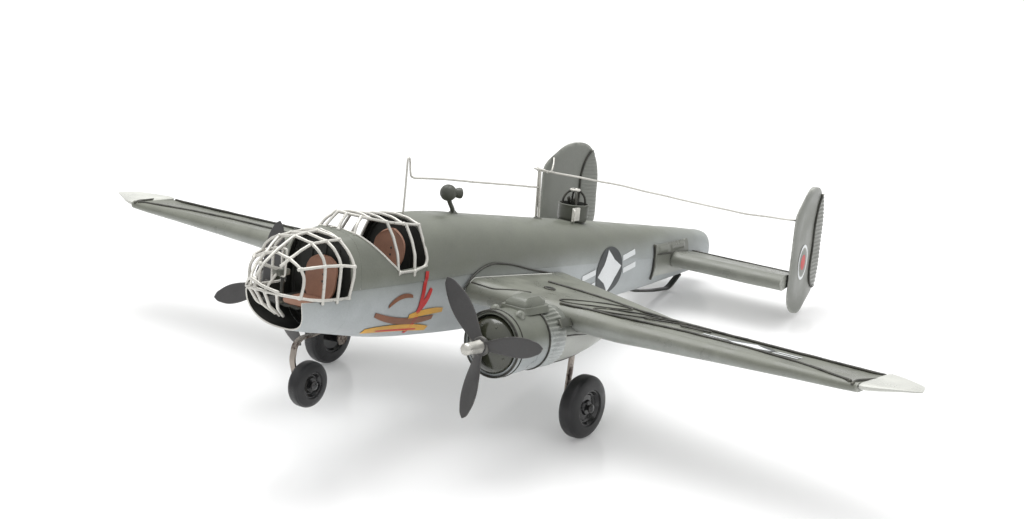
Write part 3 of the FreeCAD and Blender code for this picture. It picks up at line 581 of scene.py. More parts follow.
tyreRubber = makeFinish("tyreRubber", tint(22, 22, 24), rough=0.36, grimeAndShade=0.0, wear=0.4, bump=0.2,
                        wearColour=tint(84, 82, 82))
hubBlack = makeFinish("hubBlack", tint(18, 18, 20), rough=0.22, roughSpread=0.05, coat=0.4,
                      grimeAndShade=0.3, wear=0.4, wearColour=tint(110, 108, 104))
markWhite = makeFinish("markWhite", tint(226, 229, 230), rough=0.4, grimeAndShade=0.0, mottle=0.03)
markDark = makeFinish("markDark", tint(66, 69, 70), rough=0.4, grimeAndShade=0.0, mottle=0.06)
markRed = makeFinish("markRed", tint(190, 48, 46), rough=0.4, grimeAndShade=0.0, mottle=0.08)
markBrown = makeFinish("markBrown", tint(132, 88, 66), rough=0.4, grimeAndShade=0.0, mottle=0.2)
markAmber = makeFinish("markAmber", tint(212, 160, 64), rough=0.4, grimeAndShade=0.0, mottle=0.2)
print("finishes made")


# ---- fuselage

hull = {
    # y, half width, belly z, top z
    "stations": [(-104, 20, 47, 94), (-75, 21.5, 42, 96.5), (-35, 22, 38.5, 97), (25, 21, 37, 91),
                 (90, 18.5, 37.5, 84), (150, 15.5, 40, 77.3), (200, 12, 44, 71.5),
                 (226, 10, 46.5, 68.2)],
    "front": -104.0,
    "rear": 226.0,
    "middle": (0, 20, 60),
    "power": 2.7,
    "sheet": 0.8,
    "seam": [(-104, 71), (-20, 71), (180, 60), (226, 60)],
    "lap": 0.5,           # how far the upper shell stands over the lower one
    "lapDown": 1.1,
    # y and z of the edge of the cockpit opening, from its front round to its back
    "opening": [(-98, 96.5), (-92.4, 92.2), (-86.8, 87.4), (-78.3, 80.3), (-73, 76.4), (-53.4, 77.2)],
}


def hullRow(y):
    # half width, belly and top height, eased through the stations
    return [eased(y, hull["stations"], column) for column in (1, 2, 3)]


def hullSkin(y, t, grow=0.0):
    # superellipse section: across is the half width times the 2/power root of the cosine, and
    # up is the half height times the same root of the sine
    half, low, high = hullRow(y)
    root = 2 / hull["power"]
    x = (half + grow) * signedPower(np.cos(t), root)
    rise = (high - low) / 2 + grow
    z = (high + low) / 2 + rise * signedPower(np.sin(t), root)
    return np.stack([x, y + 0 * t, z], -1)


def hullLine(name, ys):
    # the height of the seam or of the opening's edge at each y
    return np.interp(ys, *np.array(hull[name]).T)


def hullAngle(y, z):
    # the section angle at which the skin has height z on the port side
    _, low, high = hullRow(y)
    ratio = np.clip((z - (high + low) / 2) / ((high - low) / 2), -0.999, 1.0)
    return np.sign(ratio) * np.arcsin(np.abs(ratio) ** (hull["power"] / 2))


def hullSide(y, z, grow=0.0):
    # the point of the port skin at y and z
    return hullSkin(y, hullAngle(y, z), grow)


def worked(grid, seed, depth=0.22, size=45):
    # pushes a skin in and out along its normals by soft dents
    return grid + gridNormals(grid) * dents(grid, size, depth, seed)


def arch(ys, startAt, endAt, cols, grow=None):
    # the skin between two section angles at each y
    t = startAt[:, None] + (endAt - startAt)[:, None] * np.linspace(0, 1, cols)[None, :]
    y = ys[:, None] + 0 * t
    return hullSkin(y, t, 0.0 if grow is None else grow(y, t))


def makeUpperShell():
    # the skin above the seam: a full arch ahead of and behind the cockpit, and a narrow strip on
    # each side of the opening
    def seamAt(ys):
        return hullAngle(ys, hullLine("seam", ys) - hull["lapDown"])

    def lapped(y, t):
        # the lower edge stands proud at the front, and lies flush behind the wing
        near = np.minimum(t - seamAt(y[:, 0])[:, None], np.pi - seamAt(y[:, 0])[:, None] - t)
        return hull["lap"] * np.exp(-(near / 0.09) ** 2) * (1 - 0.75 * step(y, -30, 20))

    def edgeAt(ys):
        return hullAngle(ys, hullLine("opening", ys))

    openFrom = hull["opening"][0][0]
    openTo = hull["opening"][-1][0]
    front = np.linspace(hull["front"], openFrom, 6)
    beside = np.linspace(openFrom, openTo, 44)
    behind = np.linspace(openTo, hull["rear"], 150)
    grids = [arch(ys, seamAt(ys), np.pi - seamAt(ys), 72, lapped) for ys in (front, behind)]
    side = arch(beside, seamAt(beside), edgeAt(beside), 24, lapped)
    grids += [side, mirrored(side)]
    forms = [sheetForm(worked(grid, 11), hull["sheet"], inner=1, rim=0, centre=hull["middle"])
             for grid in grids]
    return makePiece("fuselageTop", forms, [hullTopPaint, darkInterior],
                     stands=["fuselage_upper_shell"], edge=0.14)


def makeLowerShell():
    # the skin below the seam, from the port side under the belly to the other
    ys = np.linspace(hull["front"], hull["rear"], 180)
    seam = hullAngle(ys, hullLine("seam", ys) - 0.1)
    grid = arch(ys, seam, -np.pi - seam, 72)
    form = sheetForm(worked(grid, 12), hull["sheet"], inner=1, centre=hull["middle"])
    return makePiece("fuselageBelly", [form], [hullLowPaint, darkInterior],
                     stands=["fuselage_lower_shell"], edge=0.14)


tub = {
    "stations": [(-146, 7, 61, 71), (-136, 15.5, 54.5, 80.5), (-120, 18.5, 50, 83),
                 (-104, 20, 47, 94)],
    "rimZ": 66.8,
    "frontAtRim": -132.6,
    "frontAtChin": -126.8,
}


def makeTub():
    # the chin is rolled from one sheet, open above, whose front edge is cut back below
    u = np.linspace(0, 1, 40)[:, None]
    v = np.linspace(0, 1, 61)[None, :]
    depth = np.sin(np.pi * v) ** 1.3
    reach = tub["frontAtRim"] + (tub["frontAtChin"] - tub["frontAtRim"]) * depth - hull["front"]
    y = hull["front"] + u * reach
    half, low, high = [eased(y, tub["stations"], column) for column in (1, 2, 3)]
    middle = (low + high) / 2
    rise = (high - low) / 2
    root = 2 / hull["power"]
    ratio = np.clip((tub["rimZ"] - middle) / rise, -0.98, 0.98)
    start = np.sign(ratio) * np.arcsin(np.abs(ratio) ** (1 / root))
    t = start + (-np.pi - 2 * start) * v
    x = half * signedPower(np.cos(t), root)
    z = middle + rise * signedPower(np.sin(t), root)
    grid = worked(np.stack([x, y, z], -1), 13, 0.15)
    form = sheetForm(grid, hull["sheet"], inner=1, rim=2, centre=(0, -118, 66))
    return makePiece("noseTub", [form], [hullLowPaint, darkInterior, silverWire],
                     stands=["nose_tub"], edge=0.14)


def hullLoop(y, shrink, count):
    # the whole section at y, drawn in by shrink
    return hullSkin(np.full(count, float(y)), np.arange(count) * 2 * np.pi / count, -shrink)


def makeTailCap():
    # a pressed end plate: rings of the last section that step in and dish a little
    rows = [(-1.1, 0.9), (0, 0.0), (0.8, 0.0), (0.8, 1.2), (0.4, 1.8), (0.4, 5), (0.7, 8)]
    rings = np.array([hullLoop(hull["rear"], shrink, 64) + np.array([0, back, 0])
                      for back, shrink in rows])
    return makePiece("tailEndCap", [closedForm(rings)], [hullTopPaint], stands=["tail_end_cap"],
                     edge=0.12)


cabin = {
    "bulkheads": [("nose_bulkhead", -100.0, 0.8), ("cockpit_bulkhead", -49.0, 0.8)],
    "stiffener": 0.5,
    # the two floor plates: front y, rear y, half width
    "floors": [(-127.4, -100.3, 11.5), (-98.9, -49.3, 17.5)],
    "floorZ": 62.6,
}


def makeBulkheads():
    # flat formers with a flanged rim and three pressed stiffening lines each
    for node, y, thick in cabin["bulkheads"]:
        rows = [(y + 0.2, 1.3), (y, 1.0), (y - 0.9, 1.0), (y - 0.9, 2.2), (y, 2.6), (y, 9), (y, 16)]
        rings = np.array([hullLoop(y, shrink, 56) * np.array([1, 0, 1]) + np.array([0, at, 0])
                          for at, shrink in [(y + thick, 1.0), (y + thick, 1.0)] + rows])
        forms = [closedForm(rings)]
        for x in (-8, 0, 8):
            rib = [(x, y - 0.1, 60), (x, y - 0.1, 88 - abs(x) * 0.3)]
            forms.append(wireForm(rib, cabin["stiffener"], wobble=0.05, seed=int(x) + 20))
        makePiece(node.replace("_b", "B"), forms, [darkInterior], stands=[node],
                  edge=0.1)


def makeCabinFloor():
    # ribbed plates: a cosine across them, and a raised edge on each side
    forms = []
    for low, high, wide in cabin["floors"]:
        u = np.linspace(low, high, 24)[:, None]
        v = np.linspace(-wide, wide, 22)[None, :]
        ridge = 0.25 * np.cos(v * np.pi / 2.9) + 0.4 * step(np.abs(v), wide - 1.5, wide)
        grid = np.stack([v + 0 * u, u + 0 * v, cabin["floorZ"] + ridge + 0 * u], -1)
        forms.append(sheetForm(grid, 0.6, centre=(0, -90, 40)))
    return makePiece("cabinFloor", forms, [darkInterior], stands=["cabin_floor"])


makeUpperShell()
makeLowerShell()
makeTub()
makeTailCap()
makeBulkheads()
makeCabinFloor()
print("fuselage made")


# ---- soldered wire glazing

glazing = {
    "wire": 0.72,
    "solder": 1.02,
}


def bothSides(run):
    # a run of points and its mirror image
    return [run, mirrored(run).tolist()]


def solderAt(joins, seed):
    # a lump of solder on each join and on its mirror image
    return [lump(np.array(join) * (x, 1, 1), glazing["solder"], seed=seed + i)
            for i, join in enumerate(joins) for x in (1, -1)]


def makeNoseCage():
    # hoops across, rails along, and chin wires down to the tub
    runs = []
    hoop = [(19.8, -104.9, 66.8), (21.0, -104.9, 72.5), (21.8, -104.9, 77.5), (21.4, -104.9, 81.4),
            (19.4, -104.9, 85.0), (16.4, -104.9, 88.2), (11.6, -104.9, 91.6), (6, -104.9, 93.4),
            (0, -104.9, 94.2)]
    loop = [(19.8, -104.9, 66.8), (19.6, -113, 66.9), (19.0, -121.5, 67.2), (17.4, -128, 67.9),
            (15.0, -133, 68.8), (11, -138.5, 69.8), (5.5, -143, 70.8), (0, -144.8, 71.6)]
    middle = [(21.7, -104.9, 81.4), (20.4, -112.5, 82.4), (19.1, -121.5, 82.6), (16.8, -128.5, 82.0),
              (13.4, -132.4, 81.0)]
    longeron = [(11.4, -104.9, 91.7), (10.6, -113, 91.6), (9.8, -121, 91.0), (8.6, -126.5, 88.2),
                (7.2, -131.8, 84.6)]
    for run in (hoop, loop, middle, longeron):
        runs += bothSides(run)
    runs += bothSides([(19.7, -112.5, 65.6), (20.2, -112.5, 72), (20.4, -112.5, 77.6),
                       (20.4, -112.5, 81.4), (19.2, -112.5, 84.8), (15.4, -112.5, 88.9),
                       (10.7, -112.5, 91.6)])
    runs += bothSides([(19.2, -121.5, 65.8), (19.3, -121.5, 72), (19.2, -121.5, 78),
                       (19.0, -121.5, 82.2), (17.6, -121.5, 85.8), (14.0, -121.5, 89.0),
                       (9.8, -121.2, 91.0)])
    runs += bothSides([(15.4, -132.0, 68.4), (16.4, -131.6, 73.8), (16.2, -131.4, 78),
                       (13.8, -131.5, 81.4), (10.6, -131.7, 83.2), (7.2, -131.8, 84.6)])
    runs += bothSides([(11.4, -104.9, 91.7), (6, -106.0, 93.2), (0, -107.4, 94.0)])
    for y, x, z in ((-113, 10.6, 91.6), (-121, 9.8, 91.0), (-131.8, 7.2, 84.6)):
        runs.append([(x, y, z), (0, y - 0.8, z + 1.8), (-x, y, z)])
    runs.append([(7.2, -131.8, 84.6), (5.4, -135.0, 81.4)])
    runs.append([(0, -107.4, 94.0), (0, -115, 93.6), (0, -121.8, 92.8), (0, -132.6, 87.4),
                 (0, -140.4, 82.0), (0, -144.4, 77.2), (0, -144.8, 71.8)])
    runs.append([(-7.2, -131.8, 84.6), (-8.2, -136, 80.2), (-6.8, -140.2, 76), (-3.6, -143.9, 72)])
    runs.append([(9.6, -140.2, 71.0), (4.4, -145.0, 73.4), (0, -146.2, 75.8), (-3.4, -145.0, 75.4),
                 (-9.4, -139.9, 71.4)])
    chin = [((-4.5, -143.6, 71.0), (-5.0, -128.9, 59.9)), ((0, -144.9, 71.6), (-2.4, -127.9, 58.0)),
            ((4.5, -143.6, 71.0), (-0.4, -127.2, 57.4)), ((9.0, -140.4, 70.3), (2.0, -127.4, 57.6))]
    for top, foot in chin:
        half = (np.array(top) + foot) / 2 + (0, -1.2, -1.4)
        runs.append([top, tuple(half), foot])
    forms = [wireForm(run, glazing["wire"], seed=30 + i) for i, run in enumerate(runs)]
    joins = [(19.8, -104.9, 66.8), (21.6, -104.9, 81.4), (11.4, -104.9, 91.7), (15.2, -132.6, 68.7),
             (14.4, -131.5, 81.2), (20.4, -112.5, 82.0), (19.1, -121.5, 82.4), (10.7, -112.8, 91.6),
             (9.8, -121.2, 91.0), (7.2, -131.8, 84.6), (5.4, -143, 70.8), (19.7, -112.5, 67.0),
             (19.2, -121.5, 67.3)]
    forms += solderAt(joins, 60)
    forms += [lump((0, -145.2, 75.6), 1.3, seed=81), lump((0, -144.9, 71.7), 1.2, seed=82),
              lump((0, -107.4, 94.0), 1.1, seed=83)]
    return makePiece("noseGlazingFrame", forms, [silverWire], stands=["nose_cage"],
                     sharp=70)


def makeCockpitCage():
    # the roof rails meet in front in one rounded loop
    roof = [(0, -91.6, 101.2), (3.4, -90.8, 101.0), (6.4, -88.2, 100.5), (8.6, -84, 99.4),
            (10.6, -74, 97.4), (12.4, -64, 96.0), (14.4, -53.2, 95.0)]
    back = [(14.4, -53.2, 95.0), (16.9, -53.2, 90.2), (19.4, -53.1, 84.8), (21.2, -53.0, 80),
            (21.4, -54.2, 77.0), (21.9, -62, 75.6), (21.8, -73.2, 75.6)]
    runs = bothSides(roof) + bothSides(back)
    runs += bothSides([(2.6, -91.2, 101.1), (3.2, -95.2, 97.6), (4.0, -97.9, 94.4)])
    runs += bothSides([(7.4, -86.9, 100.2), (9.4, -91.8, 96.6), (10.4, -94.2, 93.0)])
    runs += bothSides([(10.9, -72.5, 97.2), (15.4, -72.0, 90.4), (18.9, -72.2, 83.6), (21.0, -73, 74.6)])
    runs += bothSides([(13.0, -61, 95.7), (17.6, -61.2, 88.6), (20.6, -61.8, 82.5), (22.0, -62.6, 73.6)])
    for y, x, z, rise in ((-82, 9.1, 99.0, 1.5), (-72.5, 10.9, 97.1, 2.0), (-63, 12.6, 95.9, 2.4),
                          (-53.2, 14.4, 95.0, 2.8)):
        runs.append([(x, y, z), (x * 0.5, y, z + rise * 0.8), (0, y, z + rise),
                     (-x * 0.5, y, z + rise * 0.8), (-x, y, z)])
    forms = [wireForm(run, glazing["wire"], seed=90 + i) for i, run in enumerate(runs)]
    # a thinner wire follows the cut edge of the shell down each side
    ys = np.linspace(-98.2, -73.4, 12)
    sill = hullSide(ys, hullLine("opening", ys), 0.15)
    for side in (sill, mirrored(sill)):
        forms.append(wireForm(side, 0.5, seed=120, wobble=0.04))
    joins = [(14.4, -53.2, 95.0), (21.3, -54, 77.2), (21.8, -73.0, 75.7), (22, -62.6, 75.4),
             (10.9, -72.5, 97.1), (12.8, -62.5, 95.9), (4.0, -97.7, 94.5), (10.3, -94.0, 93.2)]
    forms += solderAt(joins, 130)
    return makePiece("cockpitGlazingFrame", forms, [silverWire], stands=["cockpit_cage"],
                     sharp=70)


makeNoseCage()
makeCockpitCage()
print("glazing made")


# ---- seats and nose gun

seats = {
    "bombardier": {"at": (2.6, -105.6, 63.2), "wide": 18.4, "tall": 19.6, "deep": 19.4,
                   "rows": [(0, 0.36), (0.18, 0.47), (0.5, 0.5), (0.8, 0.47), (0.93, 0.36), (1, 0.2)]},
    "pilot": {"at": (3.0, -60.0, 71.2), "wide": 18.6, "tall": 20.4, "deep": 13.0,
              "rows": [(0, 0.2), (0.25, 0.44), (0.55, 0.5), (0.8, 0.42), (0.94, 0.25), (1, 0.12)]},
}


def seatForms(spec):
    # the back is a leaf whose half width follows its rows, dished across; the pan is a flat
    # plate in front of it; two dark studs hold the back
    x, y, z = spec["at"]
    u = np.linspace(0, 1, 26)[:, None]
    v = np.linspace(-1, 1, 15)[None, :]
    half = eased(u, spec["rows"], 1) * spec["wide"]
    dish = 1.1 * (1 - v ** 2)
    back = np.stack([x + half * v, y + dish + u * spec["tall"] * 0.1 + 0 * v,
                     z + u * spec["tall"] + 0 * v], -1)
    back = back + dents(back, 14, 0.2, 150)
    forms = [sheetForm(back, 0.9, centre=(x, y - 30, z))]
    w = np.linspace(0, 1, 14)[:, None]
    panHalf = spec["wide"] * (0.5 - 0.16 * w ** 2)
    pan = np.stack([x + panHalf * v, y + 0.4 - spec["deep"] * w + 0 * v,
                    z + 0.5 - 0.8 * w ** 4 + 0.3 * v ** 2], -1)
    forms.append(sheetForm(pan, 0.8, centre=(x, y, z - 30)))
    for up in (0.4, 0.56):
        forms.append(lump((x + 0.5, y + 0.3 + up * spec["tall"] * 0.1, z + up * spec["tall"]), 0.62,
                          finish=1, seed=152, squash=(1, 0.5, 1)))
    return forms


def makeSeats():
    # the pilot seat stands on a round post
    makePiece("bombardierSeat", seatForms(seats["bombardier"]), [seatPaint, blackLine],
              stands=["bombardier_seat"], edge=0.12)
    x, y, _ = seats["pilot"]["at"]
    post = turned([(62.7, 0.2), (62.7, 2.8), (63.3, 2.8), (63.8, 1.9), (70.6, 1.9), (71, 0.2)],
                  (x, y - 5.5, 0), 24, 1, "z")
    makePiece("pilotSeat", seatForms(seats["pilot"]) + [post], [seatPaint, blackLine],
              stands=["pilot_seats"], edge=0.12)


def boxForm(low, high, finish=0, taper=0.0):
    # a box with softly rounded upright edges, as a stack of rounded outlines
    a = np.array(low, float)
    b = np.array(high, float)
    middle = (a + b) / 2
    half = (b - a) / 2
    corner = barOutline(half[0], half[1], min(half[:2]) * 0.35, 4)
    levels = [(a[2], 0.93), (a[2] + 0.25, 1), (b[2] - 0.35, 1 - taper), (b[2], 0.9 - taper)]
    rings = [np.column_stack([middle[:2] + corner * s, np.full(len(corner), z)]) for z, s in levels]
    return closedForm(np.array(rings), finish)


def makeNoseGun():
    # a thin barrel and its block in a bent wire bracket, on a short post
    barrel = wireForm([(-1, -126, 77.2), (-1, -141.6, 82.0)], 0.8, 2, wobble=0.0, seed=160)
    block = boxForm((-3.4, -131, 75.6), (1.4, -124, 78.4), 1)
    frameRun = [(-4.6, -129.6, 76.0), (-4.6, -129.6, 87.4), (3.2, -129.6, 88.0), (3.2, -129.6, 75.6),
                (-4.6, -129.6, 76.0)]
    hanger = [(-1, -136.5, 69.9), (-1, -134.5, 72.4), (-1, -130.5, 76.2)]
    forms = [barrel, block, wireForm(frameRun, 0.5, 2, bend=1.0, seed=162),
             wireForm(hanger, 0.6, 2, seed=161),
             wireForm([(-1, -126.4, 62.9), (-1, -126.4, 76)], 0.9, 0, wobble=0, seed=163),
             turned([(62.9, 0.2), (62.9, 1.5), (63.4, 1.5), (63.9, 1)], (-1, -126.4, 0), 20, 0, "z")]
    return makePiece("noseGun", forms, [blackLine, fittingPaint, silverWire], stands=["nose_gun"],
                     sharp=50)


makeSeats()
makeNoseGun()
print("cabin fittings made")


# ---- aerial wires, beacon and turret

dorsal = {
    "aerial": 0.52,
    "mast": [(0, -47.7, 93.8), (0.2, -47.9, 110), (0, -48.0, 123.4), (0, -47.2, 124.6),
             (0, -46.2, 123.4), (0.1, -45.4, 117.5), (0, -44.4, 114.9), (0, -41.5, 114.0),
             (0.6, -20, 112.4), (-0.3, 5.0, 109.4), (0.4, 34, 106.4), (0, 60.6, 103.4)],
    "portLead": [(1.4, 60.6, 112.4), (24, 92, 107.6), (50, 133, 99.6), (66, 160, 94.4),
                 (84.4, 189.6, 91.5)],
    "starboardLead": [(-1.4, 60.6, 112.4), (-24, 92, 108), (-50, 133, 100.4), (-72, 172, 93.2),
                      (-78.4, 186, 92.4), (-82.6, 192.1, 98.8)],
    "ball": (0, -14.5, 105.3),
    "ballRadius": 4.1,
    "turretY": 95.0,
    "drum": 8.0,
    "drumLow": 84.4,
    "drumTall": 8.2,
    # distance from the turret's axis and height along each hoop
    "hoop": [(6.5, 85.1), (6.5, 92), (5.6, 96.2), (3.6, 98.9), (1.4, 99.9)],
    "crown": (2.3, 100.0),
    "gunX": 1.9,
}


def makeAerials():
    # a bent mast wire on a cone, a post of two legs and a cross wire, and a lead to each fin
    r = dorsal["aerial"]
    cone = turned([(93.2, 0.2), (93.2, 1.9), (94.4, 1.6), (96.6, 0.8), (97.2, 0.6)], (0, -47.7, 0),
                  20, 1, "z")
    makePiece("aerialMast", [wireForm(dorsal["mast"], r, seed=170, bend=1.6), cone],
              [silverWire, fittingPaint], stands=["antenna_mast_wire"], sharp=60)
    legs = [wireForm([(s * 0.9, 62.7, 85.6), (s * 0.7, 61.6, 98), (s * 0.4, 60.4, 112.8)], 0.66,
                     seed=171 + s) for s in (1, -1)]
    cross = wireForm([(-3.2, 60.4, 112.8), (3.2, 60.4, 112.8)], r, seed=174)
    foot = lump((0, 62.8, 86.6), 2.4, 1, 175, (1.1, 1, 0.55))
    makePiece("aerialPost", legs + [cross, foot, lump((0, 60.5, 112.6), 1.05, seed=176)],
              [silverWire, fittingPaint], stands=["antenna_post"], sharp=60)
    for side in ("port", "starboard"):
        forms = [wireForm(dorsal[side + "Lead"], r, seed=177, bend=7, wobble=0.3)]
        makePiece(side + "Aerial", forms, [silverWire], stands=[side + "_antenna_lead"],
                  sharp=60)


def makeBall():
    # a ball with a short stub on a bent stalk
    x, y, z = dorsal["ball"]
    ball = ballGrid(22, 36, 0.05) * dorsal["ballRadius"]
    ball = ball * (1 + dents(ball, 5, 0.02, 180))
    out = np.array([0.5, 0.86, 0]) / math.hypot(0.5, 0.86)
    neck = np.array([3.2, 4.2, 5.6, 6.7, 7.1, 7.1])[:, None] * out + np.array([x, y, z])
    radii = np.array([2.0, 2.3, 2.7, 2.6, 2.0, 0.4])
    stub = closedForm(sweep(neck, circle(22) * radii[:, None, None], np.array([0, 0, 1])))
    stalk = wireForm([(0, -9.4, 93.8), (0, -9.9, 97.2), (0, -12.2, 99.6), (0, -13.9, 102.6)], 1.15,
                     seed=181, bend=2.4)
    foot = turned([(93.4, 0.2), (93.4, 3.3), (94.3, 3.2), (95.2, 2.2), (96.2, 1.3)], (0, -9.4, 0),
                  24, 0, "z")
    return makePiece("beaconBall", [closedForm(ball + np.array([x, y, z])), stub, stalk, foot],
                     [fittingPaint], stands=["beacon_ball"], sharp=50)


def makeTurret():
    # an open drum with a hook on its side, four hoops that meet in a crown, and two guns
    y = dorsal["turretY"]
    r = dorsal["drum"]
    u = np.linspace(0, 1, 12)[:, None]
    angle = roundTurn(56)
    radius = r + 0.35 * step(u, 0.86, 1) - 0.5 * (1 - step(u, 0, 0.12))
    wall = np.stack([radius * np.cos(angle), y + radius * np.sin(angle),
                     dorsal["drumLow"] + dorsal["drumTall"] * u + 0 * angle], -1)
    wall = wall + dents(wall, 12, 0.16, 190)
    plate = turned([(83.4, 0.2), (83.4, r - 0.9), (84.3, r - 0.3), (85, r - 1), (85, 0.2)], (0, y, 0),
                   48, 0, "z")
    pedestal = turned([(80, 0.2), (80, 3.4), (82, 2.8), (83.8, 2.6)], (0, y, 0), 24, 2, "z")
    tab = boxForm((6.5, 84.6, 85.0), (7.6, 90.6, 91.9), 1)
    hook = wireForm([(7.2, 84.4, 85.2), (9.6, 82.4, 85.4), (10.0, 82.2, 91.0), (7.4, 84.2, 91.6)], 0.5,
                    1, bend=1.4, seed=191)
    makePiece("turretDrum", [sheetForm(wall, 0.8, wrap=True, centre=(0, y, 88), inner=2), plate,
                             pedestal, tab, hook], [fittingPaint, silverWire, darkInterior],
              stands=["turret_drum"], edge=0.1)
    forms = []
    for turn in range(4):
        c, s = cosSin(45 + 90 * turn)
        run = [(reach * c, y + reach * s, z) for reach, z in dorsal["hoop"]]
        forms.append(wireForm(run, 0.62, seed=192 + turn, bend=2))
    angles = np.linspace(0, 2 * np.pi, 25)
    reach, high = dorsal["crown"]
    crown = np.stack([reach * np.cos(angles), y + reach * np.sin(angles), high + 0 * angles], -1)
    forms.append(wireForm(crown, 0.6, 1, seed=196, bend=0.5, wobble=0.05))
    makePiece("turretHoops", forms, [blackLine, silverWire], stands=["turret_hoops"],
              sharp=60)
    guns = []
    for x in (dorsal["gunX"], -dorsal["gunX"]):
        guns.append(wireForm([(x, 96.5, 85), (x, 92.8, 95)], 0.85, seed=198, wobble=0))
        guns.append(lump((x, 92.6, 95.4), 1.0, seed=199))
    guns.append(boxForm((-2.8, 94.2, 84.9), (2.8, 98.4, 88.4)))
    makePiece("turretGuns", guns, [blackLine], stands=["turret_guns"], sharp=50)


makeAerials()
makeBall()
makeTurret()
print("dorsal fittings made")


# ---- wings

wing = {
    # x, leading y, trailing y, chord line z, thickness
    "rows": [(20.5, -24, 62, 62, 12.5), (100, -11, 42, 57, 11.5), (224, -10, 24, 59.5, 4)],
    # x and y of the raised wires that edge the upper panel
    "frontLine": [(80, -8.6), (92, -4), (108, 2.5), (130, 6.5), (160, 6.0), (190, 1.5), (208, -4.8),
                  (220, -8.4)],
    "rearLine": [(37, 25.7), (53.5, 28.8), (68, 30), (90, 30.2), (112, 30), (144, 28.4), (176, 26),
                 (202, 23.6), (222, 22)],
    "wire": 0.7,
    "fineWire": 0.4,
    # the looped wires: centre, length, width, turn in plan
    "loops": [((76, 10), 40, 10, 62), ((92, 13), 36, 9, 58), ((107, 24), 22, 7, 40),
              ((124, 22.5), 16, 4, 8)],
    "washer": (47.5, 11.2, 2.5),
}


def wingRow(x):
    # leading y, trailing y, chord height and thickness, straight between the three rows
    table = np.array(wing["rows"], float)
    return [np.interp(x, table[:, 0], table[:, column]) for column in (1, 2, 3, 4)]


def foilRise(share, chord, thick):
    # half thickness at a chord share: a round nose that tapers to the trailing edge
    bluff = np.minimum(1, np.sqrt(np.maximum(share, 0) * chord / (thick * 0.46)))
    return thick / 2 * (1 - share) ** 0.8 * bluff


def wingTop(x, y):
    # height of the upper skin: the chord line and the half thickness there
    lead, trail, z, thick = wingRow(x)
    share = np.clip((y - lead) / (trail - lead), 0, 1)
    return z + foilRise(share, trail - lead, thick) + 0.2


def foilRings(xs, rowAt, sunk=None):
    # closed sections one after another: over the top to the trailing edge, and back below
    over = (1 - np.cos(np.linspace(0, np.pi, 52))) / 2
    under = over[-2:0:-1][::2]
    x = xs[:, None]
    lead, trail, z, thick = [value[:, None] for value in rowAt(xs)]
    chord = trail - lead
    top = z + foilRise(over[None, :], chord, thick) + 0.25
    yTop = lead + over[None, :] * chord
    if sunk is not None:
        top = top - sunk(x, yTop)
    low = z - foilRise(under[None, :], chord, thick) - 0.25
    yLow = lead + under[None, :] * chord
    y = np.concatenate([yTop, yLow], 1)
    return np.stack([x + 0 * y, y, np.concatenate([top, low], 1)], -1)


def lineY(name, x):
    # where a panel wire runs at x
    table = np.array(wing[name], float)
    return np.interp(x, table[:, 0], table[:, 1])


def makeWing(side):
    def sunk(x, y):
        # the panel between the two wires lies a little below the rolled leading edge
        front = step(y, lineY("frontLine", x) - 1.2, lineY("frontLine", x) + 0.8)
        rear = 1 - step(y, lineY("rearLine", x) - 0.6, lineY("rearLine", x) + 0.8)
        return 0.45 * front * rear * step(x, 86, 96) * (1 - step(x, 216, 222))

    xs = np.linspace(wing["rows"][0][0], wing["rows"][-1][0], 150)
    rings = foilRings(xs, wingRow, sunk)
    seed = 200 if side > 0 else 207
    rings = rings + dents(rings, 40, 0.22, seed) * np.array([0, 0.4, 1])
    return onSide([closedForm(rings)], side)


def makeWingTip():
    # the tip is a raked blade with a rounded outline, thicker inboard, drooping to its edge
    edge = roundedOutline([(223.6, -10), (230, -8.5), (249, 2.0), (245, 13.5), (232, 21), (223.6, 24)],
                          3.5, 7)
    edge = evened(edge, 72)

    def place(p):
        x = p[..., 0]
        y = p[..., 1]
        out = step(x, 223, 248)
        lift = p[..., 2] * (1.35 - 0.75 * out)
        return np.stack([x, y, 60.2 + 1.2 * out + lift], -1)

    return plateForm(edge, 1.15, place, bevel=0.7, rings=9)


def overWing(points, lift=0.25):
    # lays (x, y) pairs on the wing's upper skin
    p = np.array(points, float)
    return np.column_stack([p, wingTop(p[:, 0], p[:, 1]) + lift])


def loopPoints(centre, length, width, turn, count=20):
    # a long closed loop: a stadium shape about its centre, turned in plan
    a = np.linspace(0, 2 * np.pi, count)
    u = length / 2 * signedPower(np.cos(a), 0.8)
    v = width / 2 * np.sin(a)
    c, s = cosSin(turn)
    return np.column_stack([centre[0] + u * c - v * s, centre[1] + u * s + v * c])


def seamCurve():
    # the curved joint between the wing and its tip
    t = np.linspace(0, 1, 16)
    y = -9.6 + 32.4 * t
    return np.column_stack([221.6 + 9.5 * t ** 1.6, y])


